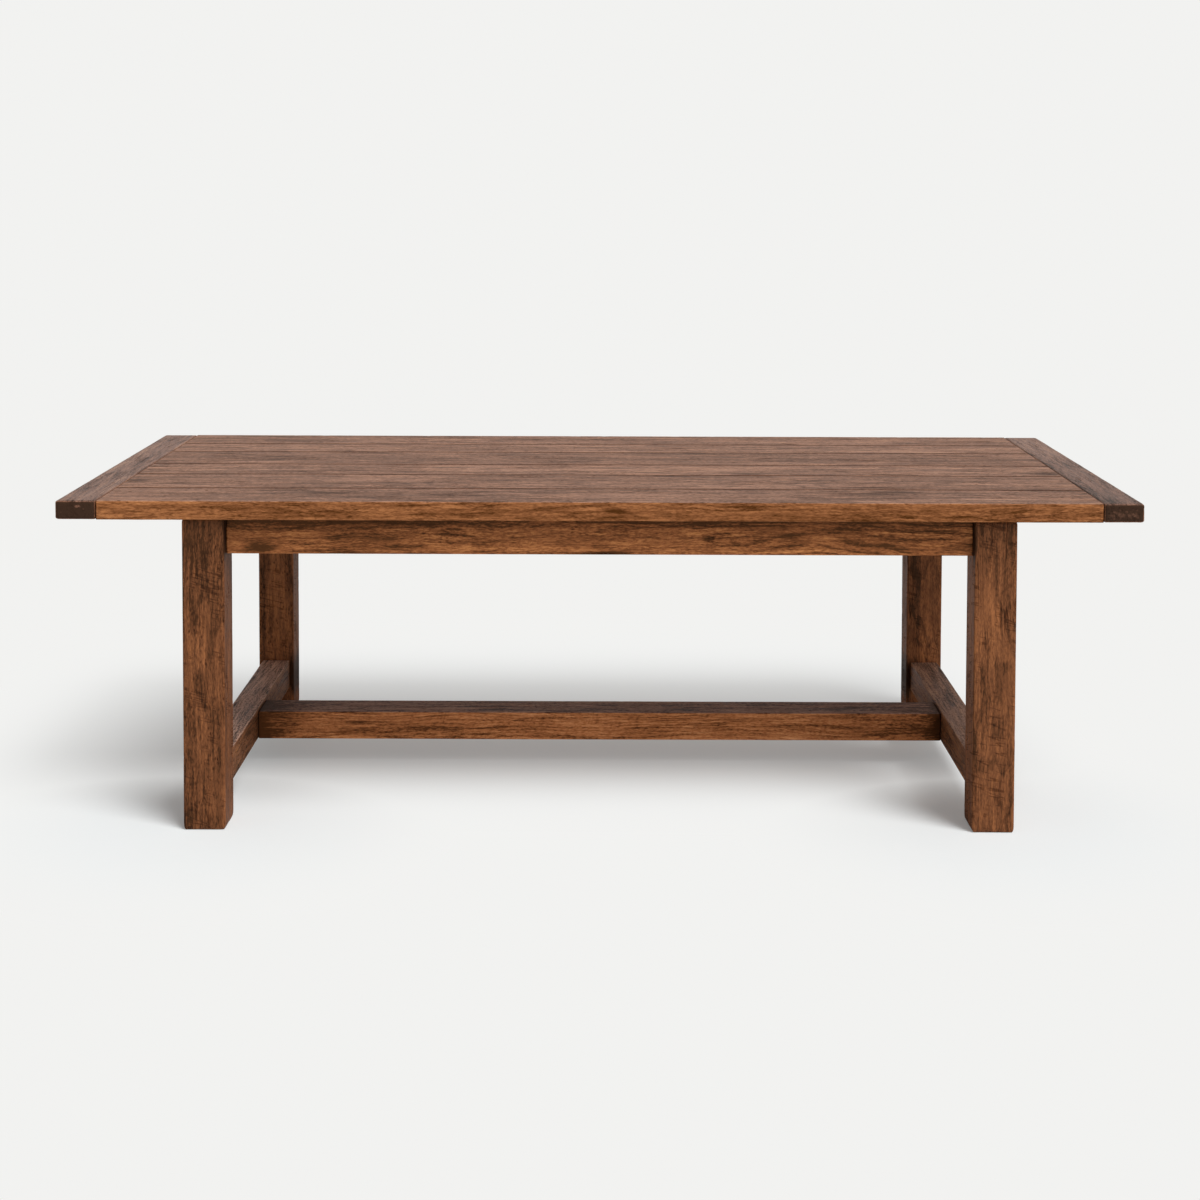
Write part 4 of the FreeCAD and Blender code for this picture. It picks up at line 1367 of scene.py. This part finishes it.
@dataclass
class Studio:
    """The pale floor, the even light and the camera of the photograph."""

    floor_half: float = 60.0
    floor_shade: float = 0.85
    floor_tint: Three = (0.965, 1.0, 1.005)
    room_shade: float = 0.887
    room_tint: Three = (1.0, 1.0, 0.985)
    room_light: float = 0.29
    key_light: float = 2.7
    key_spread: float = 28.0
    key_from: Three = (0.5, -0.5, 1.0)
    fill_light: float = 0.7
    fill_spread: float = 60.0
    fill_from: Three = (0.57, -0.82, 0.36)
    shadow_share: float = 0.76
    shadow_low: tuple[float, float] = (-0.9, 0.08)
    shadow_high: tuple[float, float] = (1.0, 0.0)
    shadow_fade: Four = (0.85, 0.62, 0.3, 1.45)
    foot_share: float = 0.84
    foot_place: tuple[float, float] = (0.93, -0.45)
    foot_shadow: tuple[float, float] = (0.12, 0.62)
    camera_place: Three = (0.01196, -4.7324, 1.50628)
    yaw: float = -0.0029
    pitch: float = 0.045
    roll: float = -0.0027
    focal_pixels: float = 1868.65
    frame_pixels: float = 1200.0
    axis_row: float = 257.165
    sensor_width: float = 36.0
    far_end: float = 500.0

    def make(self) -> None:
        """Lays the floor, sets the light and places the camera."""
        self.floor()
        self.room()
        self.lamp("key_light", self.key_light, self.key_spread, self.key_from)
        self.lamp("fill_light", self.fill_light, self.fill_spread, self.fill_from)
        self.camera()

    def tinted(self, shade: float, tint: Three) -> Four:
        """A pale colour."""
        return shade * tint[0], shade * tint[1], shade * tint[2], 1.0

    def floor(self) -> None:
        """Lays the floor, which looks pale to the camera except where the table's shadow lies."""
        reach = self.floor_half
        mesh = bpy.data.meshes.new("studio_floor")
        corners = [(-reach, -reach, 0.0), (reach, -reach, 0.0), (reach, reach, 0.0), (-reach, reach, 0.0)]
        mesh.from_pydata(corners, [], [(0, 1, 2, 3)])
        material, bench = new_material("pale_floor")
        plain = bench.coated({
            "Base Color": self.tinted(self.floor_shade, self.floor_tint), "Roughness": 1.0, "Specular IOR Level": 0.0,
        })
        spot = bench.add("ShaderNodeTexCoord", output="Object")
        place = spot.parts()
        shadow = self.shadow_share
        for axis in (0, 1):
            low, high = self.shadow_low[axis], self.shadow_high[axis]
            rise, fall = self.shadow_fade[axis], self.shadow_fade[axis + 2]
            shadow = place[axis].ramp(low - rise, low) * place[axis].fall(high, high + fall) * shadow
        for side in (-1.0, 1.0):
            foot = (side * self.foot_place[0], self.foot_place[1], 0.0)
            away = maths("DISTANCE", spot, foot)
            shadow = most(shadow, away.ramp(*self.foot_shadow, self.foot_share, 0.0))
        pale = bench.add("ShaderNodeEmission", {"Color": self.tinted(self.room_shade, self.room_tint)})
        seen = (1.0 - shadow) * bench.add("ShaderNodeLightPath", output="Is Camera Ray")
        surface = material.node_tree.nodes["Material Output"].inputs["Surface"]
        bench.feed(surface, bench.add("ShaderNodeMixShader", {0: seen, 1: plain, 2: pale}))
        mesh.materials.append(material)
        linked("studio_floor", mesh)

    def room(self) -> None:
        """Makes the room pale to the eye and in reflections, and plain in the light it gives."""
        world = bpy.data.worlds.new("studio_room")
        world.use_nodes = True
        bench = NodeBench(world.node_tree)
        ray = bench.add("ShaderNodeLightPath", output="Is Camera Ray")
        seen = most(ray, ray.beside("Is Glossy Ray"), ray.beside("Is Transmission Ray"))
        cast = self.tinted(self.room_light, (1.0, 1.0, 1.0))
        colour = bench.mixed(seen, cast, self.tinted(self.room_shade, self.room_tint))
        bench.feed(world.node_tree.nodes["Background"].inputs["Color"], colour)
        bpy.context.scene.world = world

    def lamp(self, name: str, strength: float, spread: float, source: Three) -> None:
        """Sets one broad, soft light.

        Args:
            name: the lamp's name.
            strength: its strength.
            spread: the angle that it fills, in degrees.
            source: the way from the table to the light.
        """
        lamp = bpy.data.lights.new(name, "SUN")
        lamp.energy = strength
        lamp.angle = math.radians(spread)
        linked(name, lamp).rotation_euler = Vector(source).to_track_quat("Z", "Y").to_euler()

    def camera(self) -> None:
        """Places the camera as fitted to the photograph."""
        sine, cosine = math.sin(self.yaw), math.cos(self.yaw)
        forward = Vector((sine * math.cos(self.pitch), cosine * math.cos(self.pitch), -math.sin(self.pitch)))
        right = Vector((cosine, -sine, 0.0))
        up = right.cross(forward)
        rolled_right = right * math.cos(self.roll) - up * math.sin(self.roll)
        rolled_up = right * math.sin(self.roll) + up * math.cos(self.roll)
        data = bpy.data.cameras.new("camera")
        data.sensor_width = self.sensor_width
        data.lens = self.focal_pixels / self.frame_pixels * self.sensor_width
        data.shift_y = (self.axis_row - self.frame_pixels / 2) / self.frame_pixels
        data.clip_end = self.far_end
        axes = Matrix((rolled_right, rolled_up, -forward)).transposed()
        camera = linked("camera", data)
        camera.matrix_world = Matrix.Translation(self.camera_place) @ axes.to_4x4()
        bpy.context.scene.camera = camera


def main() -> None:
    """Builds the studio and the table's pieces in order and logs how many pieces and faces there are."""
    logging.basicConfig(level=logging.INFO, format="%(name)s: %(message)s")
    bpy.context.scene.view_settings.view_transform = "Standard"
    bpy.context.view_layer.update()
    Studio().make()
    tree = TimberTree().build()
    made = TableTop().make(tree) + LegSet().make(tree) + Rails().make(tree) + Battens().make(tree)
    made += Fixings().make()
    log.info("%d pieces, %d faces", len(made), sum(len(piece.data.polygons) for piece in made))


if __name__ == "__main__":
    main()
